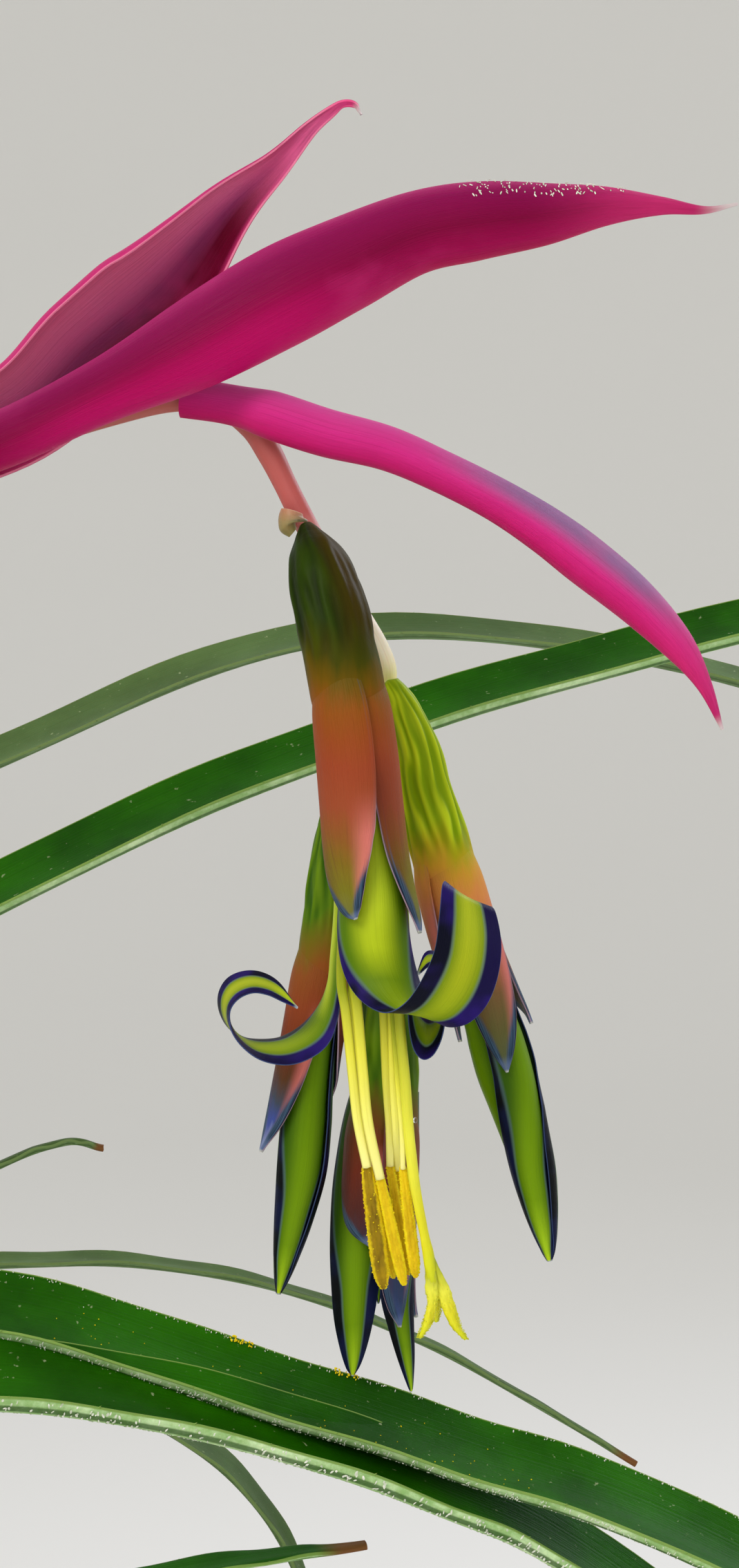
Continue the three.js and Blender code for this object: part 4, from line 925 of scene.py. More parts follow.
# Distance along the axis and radius. The last two rows lie hidden inside the sepals
OVARIES = {
    1: [(0, 0.6), (1.4, 1.25), (3.4, 2.2), (6, 2.82), (9, 3.0), (11.6, 2.98), (13.9, 3.02), (15.6, 2.95), (17, 2.5)],
    2: [(0, 0.8), (1.2, 1.2), (3, 1.6), (6, 2.0), (9, 2.2), (12, 2.4), (14.4, 2.52), (16, 2.5), (17.4, 2.1)],
    3: [(0, 0.7), (1.2, 1.1), (3, 1.5), (6, 2.0), (9, 2.2), (12.2, 2.32), (14, 2.28), (15.2, 1.9)],
    4: [(0, 0.8), (1.2, 1.3), (3, 1.9), (6, 2.5), (9, 2.7), (11.6, 2.8), (13.4, 2.8), (14.8, 2.4)],
}
# Of each ovary, its number of ribs, their height as a share, and where they fade as a share
RIBS = {1: (10, 0.05, 0.55), 2: (13, 0.07, 0.66), 3: (10, 0.06, 0.55), 4: (10, 0.06, 0.55)}
# Colours of the grooves and of the ridges, each with the height in mm where it is reached. The darker grooves are
# partly painted shade and the brighter ridges partly painted highlight
OVARY_COLOURS = {
    1: ([(341, "141F06"), (333, "1A2804"), (330, "3A3804"), (328, "684C06"), (326, "8E4E14"), (324, "96481C")],
        [(341, "223800"), (333, "304602"), (330, "4C5002"), (328, "705408"), (326, "925014"), (324, "96481C")]),
    2: ([(329, "84A606"), (316.6, "7E9E04"), (315, "96960A"), (313.2, "CE9A2A"), (311.6, "DC9046")],
        [(329, "C6DC20"), (316.6, "C6DA22"), (315, "C8B822"), (313.2, "DCA43A"), (311.6, "E0924A")]),
    3: ([(319, "2A5206"), (309, "345C08"), (306.5, "6C5C14"), (304.6, "8A4C1E")],
        [(319, "648814"), (309, "688A14"), (306.5, "806C1C"), (304.6, "8E4E20")]),
    4: ([(305, "345C08"), (295, "345C08"), (293, "62521A"), (291, "7A3E20")],
        [(305, "6C8E12"), (295, "6C8E12"), (293, "7A661E"), (291, "7E4022")]),
}


def lumps(angle, share, around, along, seed):
    """Smooth noise on a round form, with so many lumps around it and along it"""
    return np.array([
        noise.noise(Vector((around * math.cos(a), around * math.sin(a), along * s + seed)))
        for a, s in zip(angle, share)])


def ribbed(ribs, height, until, seed):
    """Lengthwise wrinkled ribs that waver and break up, and fade before the sepals start"""
    def relief(angle, share):
        rough = lumps(angle, share, 2.2, 5, seed)
        fine = lumps(angle, share, 6, 9, seed + 20)
        rib = np.cos(ribs * angle + 3.4 * rough)
        fade = np.sin(np.pi * np.clip(share, 0.02, 0.98)) ** 0.3 * (1 - smoothstep((share - until) / 0.17))
        return height * (0.6 * rib + 0.8 * rough + 0.6 * fine) * fade
    return relief


def by_height(flesh, stops):
    """Colours by the height in mm where each is reached, from the highest down, a little uneven"""
    top, bottom = stops[0][0], stops[-1][0]
    where = flesh.add("ShaderNodeTexCoord", {}).outputs["Object"]
    height = flesh.add("ShaderNodeSeparateXYZ", {0: where}).outputs[2]
    uneven = flesh.math("SUBTRACT", flesh.noise(420, stretch=(1, 1, 0.12), detail=4), 0.5)
    height = flesh.math("ADD", height, flesh.math("MULTIPLY", uneven, 0.006))
    share = flesh.add("ShaderNodeMapRange", {"Value": height, 1: top * MM, 2: bottom * MM}).outputs[0]
    return flesh.ramp(share, [((top - reached) / (top - bottom), colour) for reached, colour in stops])


def ovary_finish(name, groove, ridge, brown):
    ovary = Finish(name, {
        "Roughness": 0.45, "Subsurface Weight": 0.1, "Subsurface Scale": 0.001,
        "Subsurface Radius": (0.6, 1.0, 0.2), "Specular IOR Level": 0.06})
    across, along = ovary.across_and_along()
    deep = by_height(ovary, groove)
    # Darker in the grooves and lighter on the ridges: partly the ovary's own colour, partly painted shade and painted
    # highlight.
    colour = ovary.mix(ovary.rise(ovary.attribute("relief"), -0.05, 0.07), deep, by_height(ovary, ridge))
    streak = ovary.noise(1, kind="UV", stretch=(20, 3, 1), detail=4)
    still_green = ovary.rise(along, 0.72, 0.5)
    mark = ovary.math("MULTIPLY", ovary.math("MULTIPLY", ovary.rise(streak, 0.5, 0.8), 0.6), still_green)
    colour = ovary.mix(mark, colour, deep)
    away = ovary.math("SINE", ovary.math("MULTIPLY", across, -2 * math.pi))
    browned = ovary.math("MULTIPLY", ovary.math("MULTIPLY", ovary.rise(away, -0.15, 0.7), brown), still_green)
    colour = ovary.mix(browned, colour, tint("403002"))
    return ovary.finish(colour, None, ovary.noise(1500, stretch=(1, 1, 0.4), detail=4), 0.00005)


for flower, profile in OVARIES.items():
    at = measured(FLOWER_AXES[flower])
    rows = [(*at(distance)[0], radius) for distance, radius in profile]
    ovary = tube(f"ovary_{flower}", rows, 110, 88, ribbed(*RIBS[flower], flower))
    groove, ridge = OVARY_COLOURS[flower]
    finish = ovary_finish(f"ovary {flower}", groove, ridge, 0.8 if flower == 1 else 0.15)
    dress(ovary, finish, "ovary", f"flower_{flower}_ovary")

# Sepals
# Three leathery sepals stand round each flower's tube, each with one margin outside the next.
# They go from orange brown through rose to olive, with slate blue margins and a dry point.
SEPAL_THICKNESS = 0.34
# How far each sepal is turned in its place, so that one margin lies over the next sepal
SEPAL_SKEWS = {1: -5, 2: -5, 3: 6, 4: 6}
# Each sepal is rows of distance along the axis, radius, half angle and azimuth from the front.
# Its first row lies under the ovary's skin, and it comes out of it without a step.
SEPALS = {
    1: [
        [(12.8, 2.4, 64, -41), (14.8, 2.84, 69, -41), (16.8, 3.14, 70, -42), (20, 3.26, 70, -42),
         (23.4, 3.3, 67, -42), (26.1, 3.34, 60, -40), (27.6, 3.37, 51, -37), (29.0, 3.41, 41, -34),
         (30.3, 3.46, 31, -31), (31.5, 3.51, 22, -28), (32.4, 3.56, 13, -24), (33.0, 3.6, 2, -20)],
        [(12.8, 2.4, 64, 90), (14.8, 2.84, 68, 90), (16.8, 3.12, 70, 91), (20, 3.22, 69, 91), (23.4, 3.26, 65, 90),
         (27.8, 3.36, 51, 85), (30.8, 3.5, 35, 80), (33, 3.7, 18, 73), (34.7, 3.95, 2, 66)],
        [(12.8, 2.4, 44, 206), (14.8, 2.84, 44, 206), (16.8, 2.98, 44, 206), (20, 3.06, 44, 206),
         (23.4, 3.1, 42, 206), (26, 3.2, 38, 206), (29, 3.5, 28, 206), (31, 3.8, 16, 206), (33, 4.0, 2, 206)],
    ],
    2: [
        [(13.4, 1.95, 62, 20), (15.4, 2.34, 66, 20), (17.2, 2.6, 65, 20), (20.6, 2.7, 62, 19), (24, 2.72, 53, 16),
         (28, 2.78, 40, 10), (31, 2.88, 22, 4), (33.2, 3.0, 2, 0)],
        [(13.4, 1.95, 62, 142), (15.4, 2.34, 66, 142), (17.2, 2.6, 65, 142), (20.6, 2.68, 60, 138),
         (23, 2.72, 54, 130), (26, 2.86, 40, 118), (28.6, 3.0, 22, 104), (30.2, 3.1, 2, 98)],
        [(13.4, 1.95, 62, 262), (15.4, 2.34, 66, 262), (17.2, 2.6, 65, 262), (20.6, 2.68, 58, 262),
         (23, 2.7, 48, 262), (27, 2.8, 28, 262), (30, 3.0, 2, 262)],
    ],
    3: [
        [(11, 1.75, 62, -40), (13, 2.12, 66, -40), (15, 2.4, 64, -42), (18, 2.48, 58, -44), (21, 2.56, 48, -47),
         (24, 2.8, 36, -52), (27, 3.2, 20, -58), (29.4, 3.8, 2, -62)],
        [(11, 1.75, 62, 82), (13, 2.12, 66, 82), (15, 2.3, 60, 88), (18, 2.26, 50, 94), (21, 2.2, 38, 104),
         (23, 2.2, 24, 112), (24.6, 2.2, 2, 118)],
        [(11, 1.75, 62, 202), (13, 2.12, 66, 202), (15, 2.38, 62, 202), (18, 2.44, 54, 202), (21, 2.48, 44, 202),
         (24, 2.6, 32, 202), (27.5, 2.8, 2, 202)],
    ],
    4: [
        [(10.6, 2.2, 62, -55), (12.6, 2.66, 66, -55), (14.6, 2.98, 64, -55), (17, 3.08, 54, -50), (19, 3.12, 45, -44),
         (21.4, 3.15, 30, -30), (23.4, 3.05, 2, -12)],
        [(10.6, 2.2, 62, 64), (12.6, 2.66, 66, 62), (14.6, 2.98, 62, 58), (18, 3.08, 54, 50), (21, 3.1, 45, 42),
         (25, 3.1, 34, 34), (28, 3.08, 20, 34), (30, 3.1, 2, 38)],
        [(10.6, 2.2, 62, 184), (12.6, 2.66, 66, 184), (14.6, 2.98, 62, 182), (18, 3.08, 54, 176), (21, 3.1, 46, 166),
         (25, 3.15, 32, 140), (28, 3.25, 16, 118), (29.6, 3.4, 2, 100)],
    ],
}
# Colours by the height in mm where each is reached, carrying on from the ovary's
SEPAL_COLOURS = {
    1: [(330, "4C4C05"), (328, "6E5108"), (326, "904F14"), (324, "96481C"), (321.5, "9A4426"), (318, "9A4A2C"),
        (315.6, "8E5826"), (313.6, "806A1C"), (311.4, "7C781E"), (309, "767A40")],
    2: [(315, "AFA816"), (313.2, "D49E32"), (311.6, "DE9148"), (309.6, "D88450"), (306.4, "B06444"), (303.4, "785A38"),
        (300, "626036"), (297.4, "5C6848"), (296.2, "94A078")],
    3: [(306.5, "766418"), (304.6, "8C4D1F"), (302, "8A4020"), (299, "703018"), (296.5, "5A3A22"), (294, "424C5C"),
        (291.8, "4052A0"), (290, "9CA4CC")],
    4: [(293, "6E5C1E"), (291, "7C3F21"), (288, "763222"), (285, "562C28"), (282, "383C50"), (278, "324268"),
        (275.5, "4A5E9A"), (274.6, "9CA4C0")],
}


def flower_spot(at, distance, azimuth, radius):
    """A place round a flower's axis, and the direction from it to the axis"""
    point, forward = at(distance)
    front = np.array([0, -1, 0]) + forward * forward[1]
    outward = turned_about(unit(front), forward, -azimuth)
    return point + outward * radius, -outward


def round_axis(at, rows, skew):
    """Blade keys that wrap a flower's axis, with one margin lifted over the next blade"""
    keys = []
    for distance, radius, bend, azimuth in rows:
        point, _ = flower_spot(at, distance, azimuth, radius)
        _, inward = flower_spot(at, distance, azimuth + skew, radius)
        keys.append((point, inward, max(radius * math.sin(math.radians(bend)), 0.06), bend))
    return keys


def sepal_finish(name, stops):
    """Streaked skin with a painted pale pink highlight along its rim; it turns to slate blue with a dark line towards
    the point
    """
    sepal = Finish(name, {
        "Roughness": 0.44, "Subsurface Weight": 0.1, "Subsurface Scale": 0.0008,
        "Subsurface Radius": (1.0, 0.5, 0.3), "Specular IOR Level": 0.09})
    across, along = sepal.across_and_along()
    base = by_height(sepal, stops)
    edge = sepal.math("MULTIPLY", sepal.math("ABSOLUTE", sepal.math("SUBTRACT", across, 0.5)), 2)
    streak = sepal.noise(1, kind="UV", stretch=(30, 2.5, 1), detail=5)
    emerged = sepal.rise(along, 0.34, 0.5)
    mark = sepal.math("MULTIPLY", sepal.math("MULTIPLY", sepal.rise(streak, 0.5, 0.8), 0.45), emerged)
    colour = sepal.mix(mark, base, tint("56282A"))
    dusk = sepal.math("MULTIPLY", sepal.rise(across, 0.4, 0.06), sepal.math("MULTIPLY", emerged, 0.5))
    colour = sepal.mix(dusk, colour, tint("5E241C"))
    blush = sepal.math("MULTIPLY", sepal.rise(across, 0.66, 0.95), sepal.math("MULTIPLY", emerged, 0.8))
    colour = sepal.mix(blush, colour, tint("E27C78"))
    creep = sepal.math("MULTIPLY", sepal.rise(along, 0.55, 0.98), 0.8)
    far = sepal.math("ADD", sepal.math("ADD", edge, creep), sepal.math("MULTIPLY", streak, 0.4))
    slate = sepal.mix(sepal.rise(streak, 0.35, 0.65), tint("16283C"), tint("4C6684"))
    colour = sepal.mix(sepal.rise(far, 1.08, 1.4), colour, slate)
    lower = sepal.rise(along, 0.66, 0.78)
    line = sepal.math("MULTIPLY", sepal.rise(edge, 0.88, 0.95), lower)
    colour = sepal.mix(line, colour, tint("0A1230"))
    colour = sepal.mix(sepal.math("MULTIPLY", sepal.rise(along, 0.9, 0.98), 0.6), colour, tint("7C92C4"))
    # A painted highlight: a pale pink line along both margins where light catches the rim.
    rim = sepal.math("MULTIPLY", sepal.rise(edge, 0.975, 1.0), emerged)
    colour = sepal.mix(sepal.math("MULTIPLY", rim, 0.7), colour, tint("B89CB0"))
    colour = sepal.mix(sepal.rise(along, 0.982, 1.0), colour, tint("D6D8D4"))
    return sepal.finish(colour, None, sepal.noise(1, kind="UV", stretch=(70, 4, 1), detail=4), 0.00007)


for flower, sepals in SEPALS.items():
    at = measured(FLOWER_AXES[flower])
    blades = []
    for number, rows in enumerate(sepals, 1):
        form = blade_form(round_axis(at, rows, SEPAL_SKEWS[flower]), 90, 24)
        blades.append(sheet(f"sepals_{flower}" if number == 1 else f"sepal_{flower}_{number}", form, SEPAL_THICKNESS))
    calyx = join(blades)
    dress(calyx, sepal_finish(f"sepals {flower}", SEPAL_COLOURS[flower]), "sepal", f"flower_{flower}_sepals")

# Petals of the closed flowers
# Three petals are rolled round each other into a long pointed bud, lime green with a broad navy
# margin that shows where it lies outside the next. The youngest flower's tips stand apart.
PETAL_THICKNESS = 0.26
PETAL_SKEW = 8
IMAGE_MIDDLE = (535, 1134.5)
# Distance along the axis, radius and how far the three petals are turned round it
BUDS = {
    2: [(14.7, 1.9, 48), (22, 1.9, 48), (28, 2.0, 48), (31, 2.2, 47), (34, 2.2, 42), (37.4, 1.95, 21),
        (41, 1.7, -6), (44, 1.4, -12), (46.6, 0.95, -12), (48.4, 0.5, -12), (49.3, 0.1, -12)],
    3: [(12.5, 1.65, 12), (20, 1.65, 12), (24, 1.8, 12), (27, 1.95, 12), (31, 1.9, 10), (35, 1.45, 6),
        (38, 0.95, 2), (40, 0.5, 0), (41.2, 0.08, 0)],
}
# Both margins of each petal of the lowest flower: pixels across and down the photograph, and
# the depth in mm behind the stalk, from the root to the tip
LOOSE_PETALS = [
    ([(514, 1560, 10.6), (498, 1616, 10.2), (488, 1670, 10.0), (481, 1727, 9.6), (478, 1801, 8.9), (480, 1862, 8.2),
      (484, 1910, 7.8), (492, 1950, 7.7), (501, 1979, 7.7), (509, 1990, 7.7)],
     [(556, 1560, 9.0), (556, 1616, 8.8), (557, 1670, 8.7), (557, 1727, 8.5), (556, 1790, 8.1), (550, 1850, 7.7),
      (543, 1896, 7.5), (534, 1938, 7.5), (523, 1972, 7.6), (512, 1991, 7.7)]),
    ([(562, 1580, 7.6), (558, 1660, 7.4), (554, 1740, 7.2), (550, 1815, 7.1), (551, 1876, 7.0), (562, 1922, 7.0),
      (576, 1968, 7.2), (590, 2006, 7.5), (594, 2013, 7.6)],
     [(606, 1580, 9.0), (606, 1660, 8.9), (604, 1740, 8.7), (600, 1815, 8.4), (598, 1868, 8.2), (599, 1916, 8.0),
      (600, 1962, 7.8), (598, 2002, 7.7), (596, 2014, 7.6)]),
    ([(596, 1580, 10.6), (596, 1670, 10.9), (588, 1750, 11.2), (572, 1816, 11.2), (556, 1862, 11.2), (549, 1886, 11.2)],
     [(516, 1580, 10.6), (514, 1670, 10.9), (518, 1750, 11.2), (530, 1816, 11.2), (541, 1862, 11.2),
      (547, 1887, 11.2)]),
]
LOOSE_BENDS = [50, 46, 42, 34, 30, 26, 24]


def seen(across, down, depth):
    """The place in mm of a point that the photograph shows at a pixel, at a depth along Y"""
    scale = (depth - CAMERA_AT[1] / MM) / FOCAL_PIXELS
    x = CAMERA_AT[0] / MM + (across - IMAGE_MIDDLE[0]) * scale
    z = CAMERA_AT[2] / MM - (down - IMAGE_MIDDLE[1]) * scale
    return x, depth, z


def strap_form(margins, bends, rows, columns):
    """Places of a strap's points between its two margins, bowed outwards by an angle"""
    first, second = [[seen(*point) for point in margin] for margin in margins]
    along = np.linspace(0, 1, rows + 1)
    left, right = curve(first, along), curve(second, along)
    forward = unit(heading(first, along) + heading(second, along))
    half = (right - left) / 2
    outward = unit(np.cross(forward, half))
    bend = np.radians(curve([(bend, 0) for bend in bends], along)[:, :1])
    slope = bend * np.linspace(-1, 1, columns + 1)
    aside = (np.sin(slope) / np.sin(bend))[..., None]
    proud = ((np.cos(slope) - np.cos(bend)) / np.sin(bend))[..., None]
    width = np.linalg.norm(half, axis=1)[:, None, None]
    return ((left + right) / 2)[:, None] + half[:, None] * aside + outward[:, None] * proud * width


def petal_finish(name, lime, deep, navy, violet_tint, narrow_until, wide_from, narrow, wide):
    """Lime green along the petal, with navy margins that widen towards its tip, a painted lavender sheen where lime
    meets navy and a painted highlight along the very edge
    """
    petal = Finish(name, {
        "Roughness": 0.4, "Subsurface Weight": 0.12, "Subsurface Scale": 0.0006,
        "Subsurface Radius": (0.7, 1.0, 0.3), "Specular IOR Level": 0.1})
    across, along = petal.across_and_along()
    edge = petal.math("MULTIPLY", petal.math("ABSOLUTE", petal.math("SUBTRACT", across, 0.5)), 2)
    streak = petal.noise(1, kind="UV", stretch=(16, 2, 1), detail=3)
    glow = petal.rise(edge, 0.7, 0.05)
    colour = petal.mix(glow, tint(deep), petal.ramp(along, lime))
    colour = petal.mix(petal.math("MULTIPLY", petal.rise(streak, 0.5, 0.85), 0.25), colour, tint(deep))
    colour = petal.mix(petal.math("MULTIPLY", petal.rise(along, 0.9, 0.98), 0.6), colour, tint("C4DC18"))
    widen = petal.math("MULTIPLY", petal.rise(along, narrow_until, wide_from), narrow - wide)
    band = petal.math("ADD", petal.math("ADD", edge, widen), petal.math("MULTIPLY", streak, 0.08))
    violet = petal.math("MULTIPLY", petal.rise(petal.noise(230, detail=2), 0.44, 0.62), 0.55)
    violet = petal.math("ADD", violet, petal.math("MULTIPLY", petal.rise(across, 0.5, 0.8), 0.2))
    margin = petal.mix(violet, tint(navy), tint(violet_tint))
    # A painted sheen: a grey-blue band where the lime meets the navy margin.
    painted_sheen_fringe = petal.rise(band, narrow - 0.05, narrow + 0.07)
    colour = petal.mix(petal.math("MULTIPLY", painted_sheen_fringe, 0.5), colour, tint("5C6C8C"))
    colour = petal.mix(petal.rise(band, narrow + 0.02, narrow + 0.14), colour, margin)
    # A painted highlight: a thin light blue line along the very edge where light catches the margin.
    colour = petal.mix(petal.math("MULTIPLY", petal.rise(edge, 0.985, 1.0), 0.6), colour, tint("46588C"))
    colour = petal.mix(petal.rise(along, 0.98, 1.0), colour, tint("B4BCC8"))
    return petal.finish(colour, None, petal.noise(1, kind="UV", stretch=(60, 4, 1), detail=4), 0.00004)


BUD_LIME = [(0.0, "648C02"), (0.7, "749A04"), (1.0, "C0E828")]
bud_petal = petal_finish("bud petal", BUD_LIME, "345A02", "03070C", "141C4C", 0.35, 0.6, 0.84, 0.5)
for flower, profile in BUDS.items():
    at = measured(FLOWER_AXES[flower])
    blades = []
    for number in range(3):
        rows = [(distance, radius, 78 if radius > 0.6 else 62, turn + 120 * number)
                for distance, radius, turn in profile]
        form = blade_form(round_axis(at, rows, PETAL_SKEW), 110, 26)
        blades.append(sheet(f"petals_{flower}" if number == 0 else f"petal_{flower}_{number}", form, PETAL_THICKNESS))
    dress(join(blades), bud_petal, "petal", f"flower_{flower}_petals")

blades = []
for number, margins in enumerate(LOOSE_PETALS):
    form = strap_form(margins, LOOSE_BENDS, 110, 24)
    blades.append(sheet("petals_4" if number == 0 else f"petal_4_{number}", form, PETAL_THICKNESS))
dress(join(blades), bud_petal, "petal", "flower_4_petals")

# Petals of the open flower
# They hang in a tube, then roll back. The front one folds over towards the viewer and up to
# the right, one goes round to the left in a loop and one to the right behind the front one.
# Both margins of each are points as the photograph shows them, from the root to the tip.
OPEN_PETALS = [
    ([(520, 1050, -7.8), (512, 1150, -7.8), (504, 1236, -7.6), (494, 1284, -7.4), (489, 1330, -7.4), (491, 1376, -7.7),
      (500, 1413, -8.4), (516, 1441, -9.6), (538, 1459, -11.0), (562, 1465, -12.6), (588, 1450, -13.9),
      (611, 1417, -14.7), (629, 1375, -15.0), (636, 1326, -14.9), (640, 1284, -14.2), (645, 1276, -12.9),
      (652, 1296, -11.8), (660, 1332, -11.4), (668, 1366, -11.4)],
     [(552, 1050, -7.8), (560, 1150, -7.7), (574, 1236, -7.4), (584, 1284, -7.2), (590, 1330, -7.2), (596, 1374, -7.5),
      (605, 1412, -8.2), (617, 1446, -9.3), (631, 1474, -10.6), (650, 1486, -12.1), (679, 1480, -13.5),
      (705, 1454, -14.4), (721, 1413, -14.8), (726, 1366, -14.6), (718, 1322, -13.8), (708, 1312, -12.6),
      (698, 1322, -11.7), (686, 1346, -11.3), (671, 1370, -11.3)]),
    ([(520, 1050, -4.2), (508, 1150, -4.2), (502, 1240, -4.1), (497, 1322, -3.6), (489, 1382, -2.6), (480, 1419, -2.0),
      (462, 1455, -1.9), (437, 1483, -2.4), (408, 1500, -3.0), (378, 1504, -3.6), (350, 1500, -4.0),
      (329, 1485, -4.3), (317, 1461, -4.5), (317, 1436, -4.7), (330, 1415, -4.9), (354, 1405, -5.1),
      (380, 1407, -5.4), (405, 1422, -5.8), (429, 1456, -6.4)],
     [(510, 1050, -7.0), (508, 1150, -7.2), (512, 1240, -7.6), (509, 1322, -7.2), (500, 1386, -6.2), (494, 1434, -5.6),
      (489, 1474, -5.7), (477, 1508, -6.4), (452, 1530, -7.0), (418, 1541, -7.4), (380, 1535, -7.6),
      (352, 1516, -7.6), (335, 1491, -7.6), (333, 1464, -7.5), (345, 1446, -7.3), (366, 1437, -7.1),
      (388, 1440, -6.9), (410, 1450, -6.7), (431, 1459, -6.5)]),
    ([(556, 1050, -7.2), (566, 1150, -7.4), (577, 1240, -7.4), (584, 1322, -7.3), (588, 1388, -7.2), (590, 1436, -7.2),
      (592, 1484, -7.4), (599, 1518, -7.6), (612, 1533, -7.6), (627, 1527, -7.5), (639, 1504, -7.2),
      (645, 1472, -7.0), (645, 1440, -6.8), (640, 1416, -6.8), (632, 1402, -6.8), (622, 1398, -6.9),
      (606, 1411, -7.0)],
     [(534, 1050, -4.0), (540, 1150, -4.0), (548, 1240, -4.0), (556, 1322, -4.0), (564, 1388, -3.8), (578, 1432, -3.6),
      (592, 1456, -3.6), (606, 1467, -3.6), (620, 1472, -3.7), (633, 1470, -3.9), (643, 1458, -4.2),
      (647, 1438, -4.4), (645, 1410, -4.8), (638, 1388, -5.2), (627, 1376, -5.8), (614, 1380, -6.3),
      (604, 1406, -6.9)]),
]
OPEN_BENDS = [
    [56, 60, 66, 74, 76, 66, 50, 34, 24, 18, 14, 12, 12, 12, 14, 18, 18, 16, 14],
    [56, 60, 60, 56, 46, 34, 26, 20, 16, 14, 12, 12, 12, 12, 12, 12, 12, 12, 12],
    [56, 60, 60, 56, 46, 34, 26, 20, 16, 14, 12, 12, 12, 12, 12, 12, 12],
]

blades = []
for number, margins in enumerate(OPEN_PETALS):
    form = strap_form(margins, OPEN_BENDS[number], 200, 28)
    blades.append(sheet("petals_1" if number == 0 else f"petal_1_{number}", form, PETAL_THICKNESS))
# Lime along the open petals, partly their own colour and partly painted light: the bright band high on the cup is a
# painted highlight and the darker band lower down is painted shade.
OPEN_LIME = [
    (0.1, "A6BC1E"), (0.2, "BED226"), (0.28, "B6CA1E"), (0.36, "6E8C04"), (0.48, "90A80E"), (0.65, "A2AE18"),
    (1.0, "AEBE30"),
]
open_petal = petal_finish("open petal", OPEN_LIME, "54780A", "04061C", "2A1478", 0.16, 0.5, 0.92, 0.5)
dress(join(blades), open_petal, "petal", "flower_1_petals")

# Stamens
# Six flat lemon filaments spring from the root of the open flower and end in long flat golden
# anthers, grooved along the middle. Their open edges are beaded with pollen.
STAMEN_ROOT = (158.2, -6.1, 327.3, 1.1)
STAMEN_ROOT_END = (158.4, -6.2, 324.9, 0.9)
ANTHER_PROFILE = [(-0.03, 0.3), (0.05, 0.68), (0.3, 0.86), (0.66, 1), (0.86, 0.92), (0.95, 0.66), (1, 0.3)]
# Of each stamen: points of its filament as pixels across and down the photograph with a depth,
# half the filament's width, the anther's two ends, half its width, and how far the filament
# runs on over its face
STAMENS = [
    ([(499, 1290, -6.6), (494, 1410, -6.9), (501, 1467, -6.8), (511, 1560, -6.5), (518, 1622, -6.3)], 0.4,
     (531, 1687, -6.2), (555, 1865, -6.0), 0.7, 0.1),
    ([(511, 1290, -6.8), (512, 1410, -7.0), (518, 1467, -7.0), (526, 1560, -7.0), (533, 1626, -6.9)], 0.42,
     (547, 1690, -6.4), (585, 1860, -5.8), 0.5, 0.9),
    ([(545, 1290, -5.6), (551, 1410, -5.4), (555, 1467, -5.2), (559, 1560, -5.0), (564, 1630, -4.9)], 0.34,
     (564, 1682, -4.8), (590, 1845, -4.6), 0.46, 0.3),
    ([(553, 1290, -6.0), (562, 1410, -5.9), (567, 1467, -5.8), (569, 1560, -5.6), (573, 1630, -5.5)], 0.34,
     (576, 1690, -4.2), (592, 1842, -4.0), 0.4, 0.2),
    ([(558, 1290, -6.4), (567, 1440, -6.2), (574, 1540, -6.2), (578, 1590, -6.2), (582, 1636, -6.2)], 0.24,
     (583, 1688, -5.9), (602, 1849, -5.7), 0.5, 0.2),
    ([(505, 1290, -5.2), (508, 1410, -5.0), (510, 1467, -4.9), (517, 1560, -4.6), (525, 1622, -4.4)], 0.3,
     (533, 1690, -4.2), (570, 1850, -4.0), 0.4, 0.2),
]
GRAINS_PER_ANTHER = 620


def flattened(angle, share):
    """A strap wider across the view than deep, with a faint rib along its middle"""
    return -0.36 * np.cos(2 * angle) + 0.12 * np.exp(-(np.sin(angle) / 0.3) ** 2)


def anther_relief(seed):
    """A flat pod with a groove along each face and slightly uneven edges"""
    def relief(angle, share):
        groove = np.exp(-(np.sin(angle) / 0.22) ** 2)
        return -0.24 * np.cos(2 * angle) - 0.14 * groove + 0.1 * lumps(angle, share, 3, 30, 7 * seed)
    return relief


def filament_finish():
    thread = Finish("filament", {
        "Roughness": 0.45, "Subsurface Weight": 0.25, "Subsurface Scale": 0.0006,
        "Subsurface Radius": (1.0, 0.9, 0.2), "Specular IOR Level": 0.25})
    across, along = thread.across_and_along()
    base = thread.ramp(along, [(0.0, "6E8010"), (0.4, "A2AE1A"), (0.6, "EEEA4C"), (0.8, "FCF87C"), (1.0, "FEF89E")])
    streak = thread.noise(1, kind="UV", stretch=(9, 2, 1), detail=3)
    colour = thread.mix(thread.math("MULTIPLY", thread.rise(streak, 0.5, 0.8), 0.3), base, tint("BEB624"))
    # Both flanks are darkened towards olive: painted shade where the flat filament turns away from the light.
    side = thread.math("ABSOLUTE", thread.math("SINE", thread.math("MULTIPLY", across, 2 * math.pi)))
    colour = thread.mix(thread.math("MULTIPLY", thread.rise(side, 0.8, 1.0), 0.4), colour, tint("B0A41C"))
    return thread.finish(colour, None, streak, 0.00004)


def anther_finish(name, low, high, edge):
    """Lengthwise streaks on the faces and bright pollen along both edges"""
    pod = Finish(name, {
        "Roughness": 0.6, "Subsurface Weight": 0.15, "Subsurface Scale": 0.0005, "Specular IOR Level": 0.2})
    across, _ = pod.across_and_along()
    colour = pod.ramp(pod.noise(900, stretch=(1, 1, 0.4), detail=6, rough=0.65), [(0.34, low), (0.62, high)])
    side = pod.math("ABSOLUTE", pod.math("SINE", pod.math("MULTIPLY", across, 2 * math.pi)))
    rough = pod.math("MULTIPLY", pod.noise(1900, detail=4), 0.5)
    colour = pod.mix(pod.rise(pod.math("ADD", side, rough), 0.9, 1.2), colour, tint(edge))
    return pod.finish(colour, None, pod.noise(2600, detail=5, rough=0.7), 0.00012)


def pollen_finish():
    dust = Finish("pollen", {"Specular IOR Level": 0.1, "Roughness": 0.7})
    colour = dust.ramp(dust.noise(1800, detail=4), [(0.35, "DCB406"), (0.62, "F8E820")])
    return dust.finish(colour, None, dust.noise(4000), 0.00002)


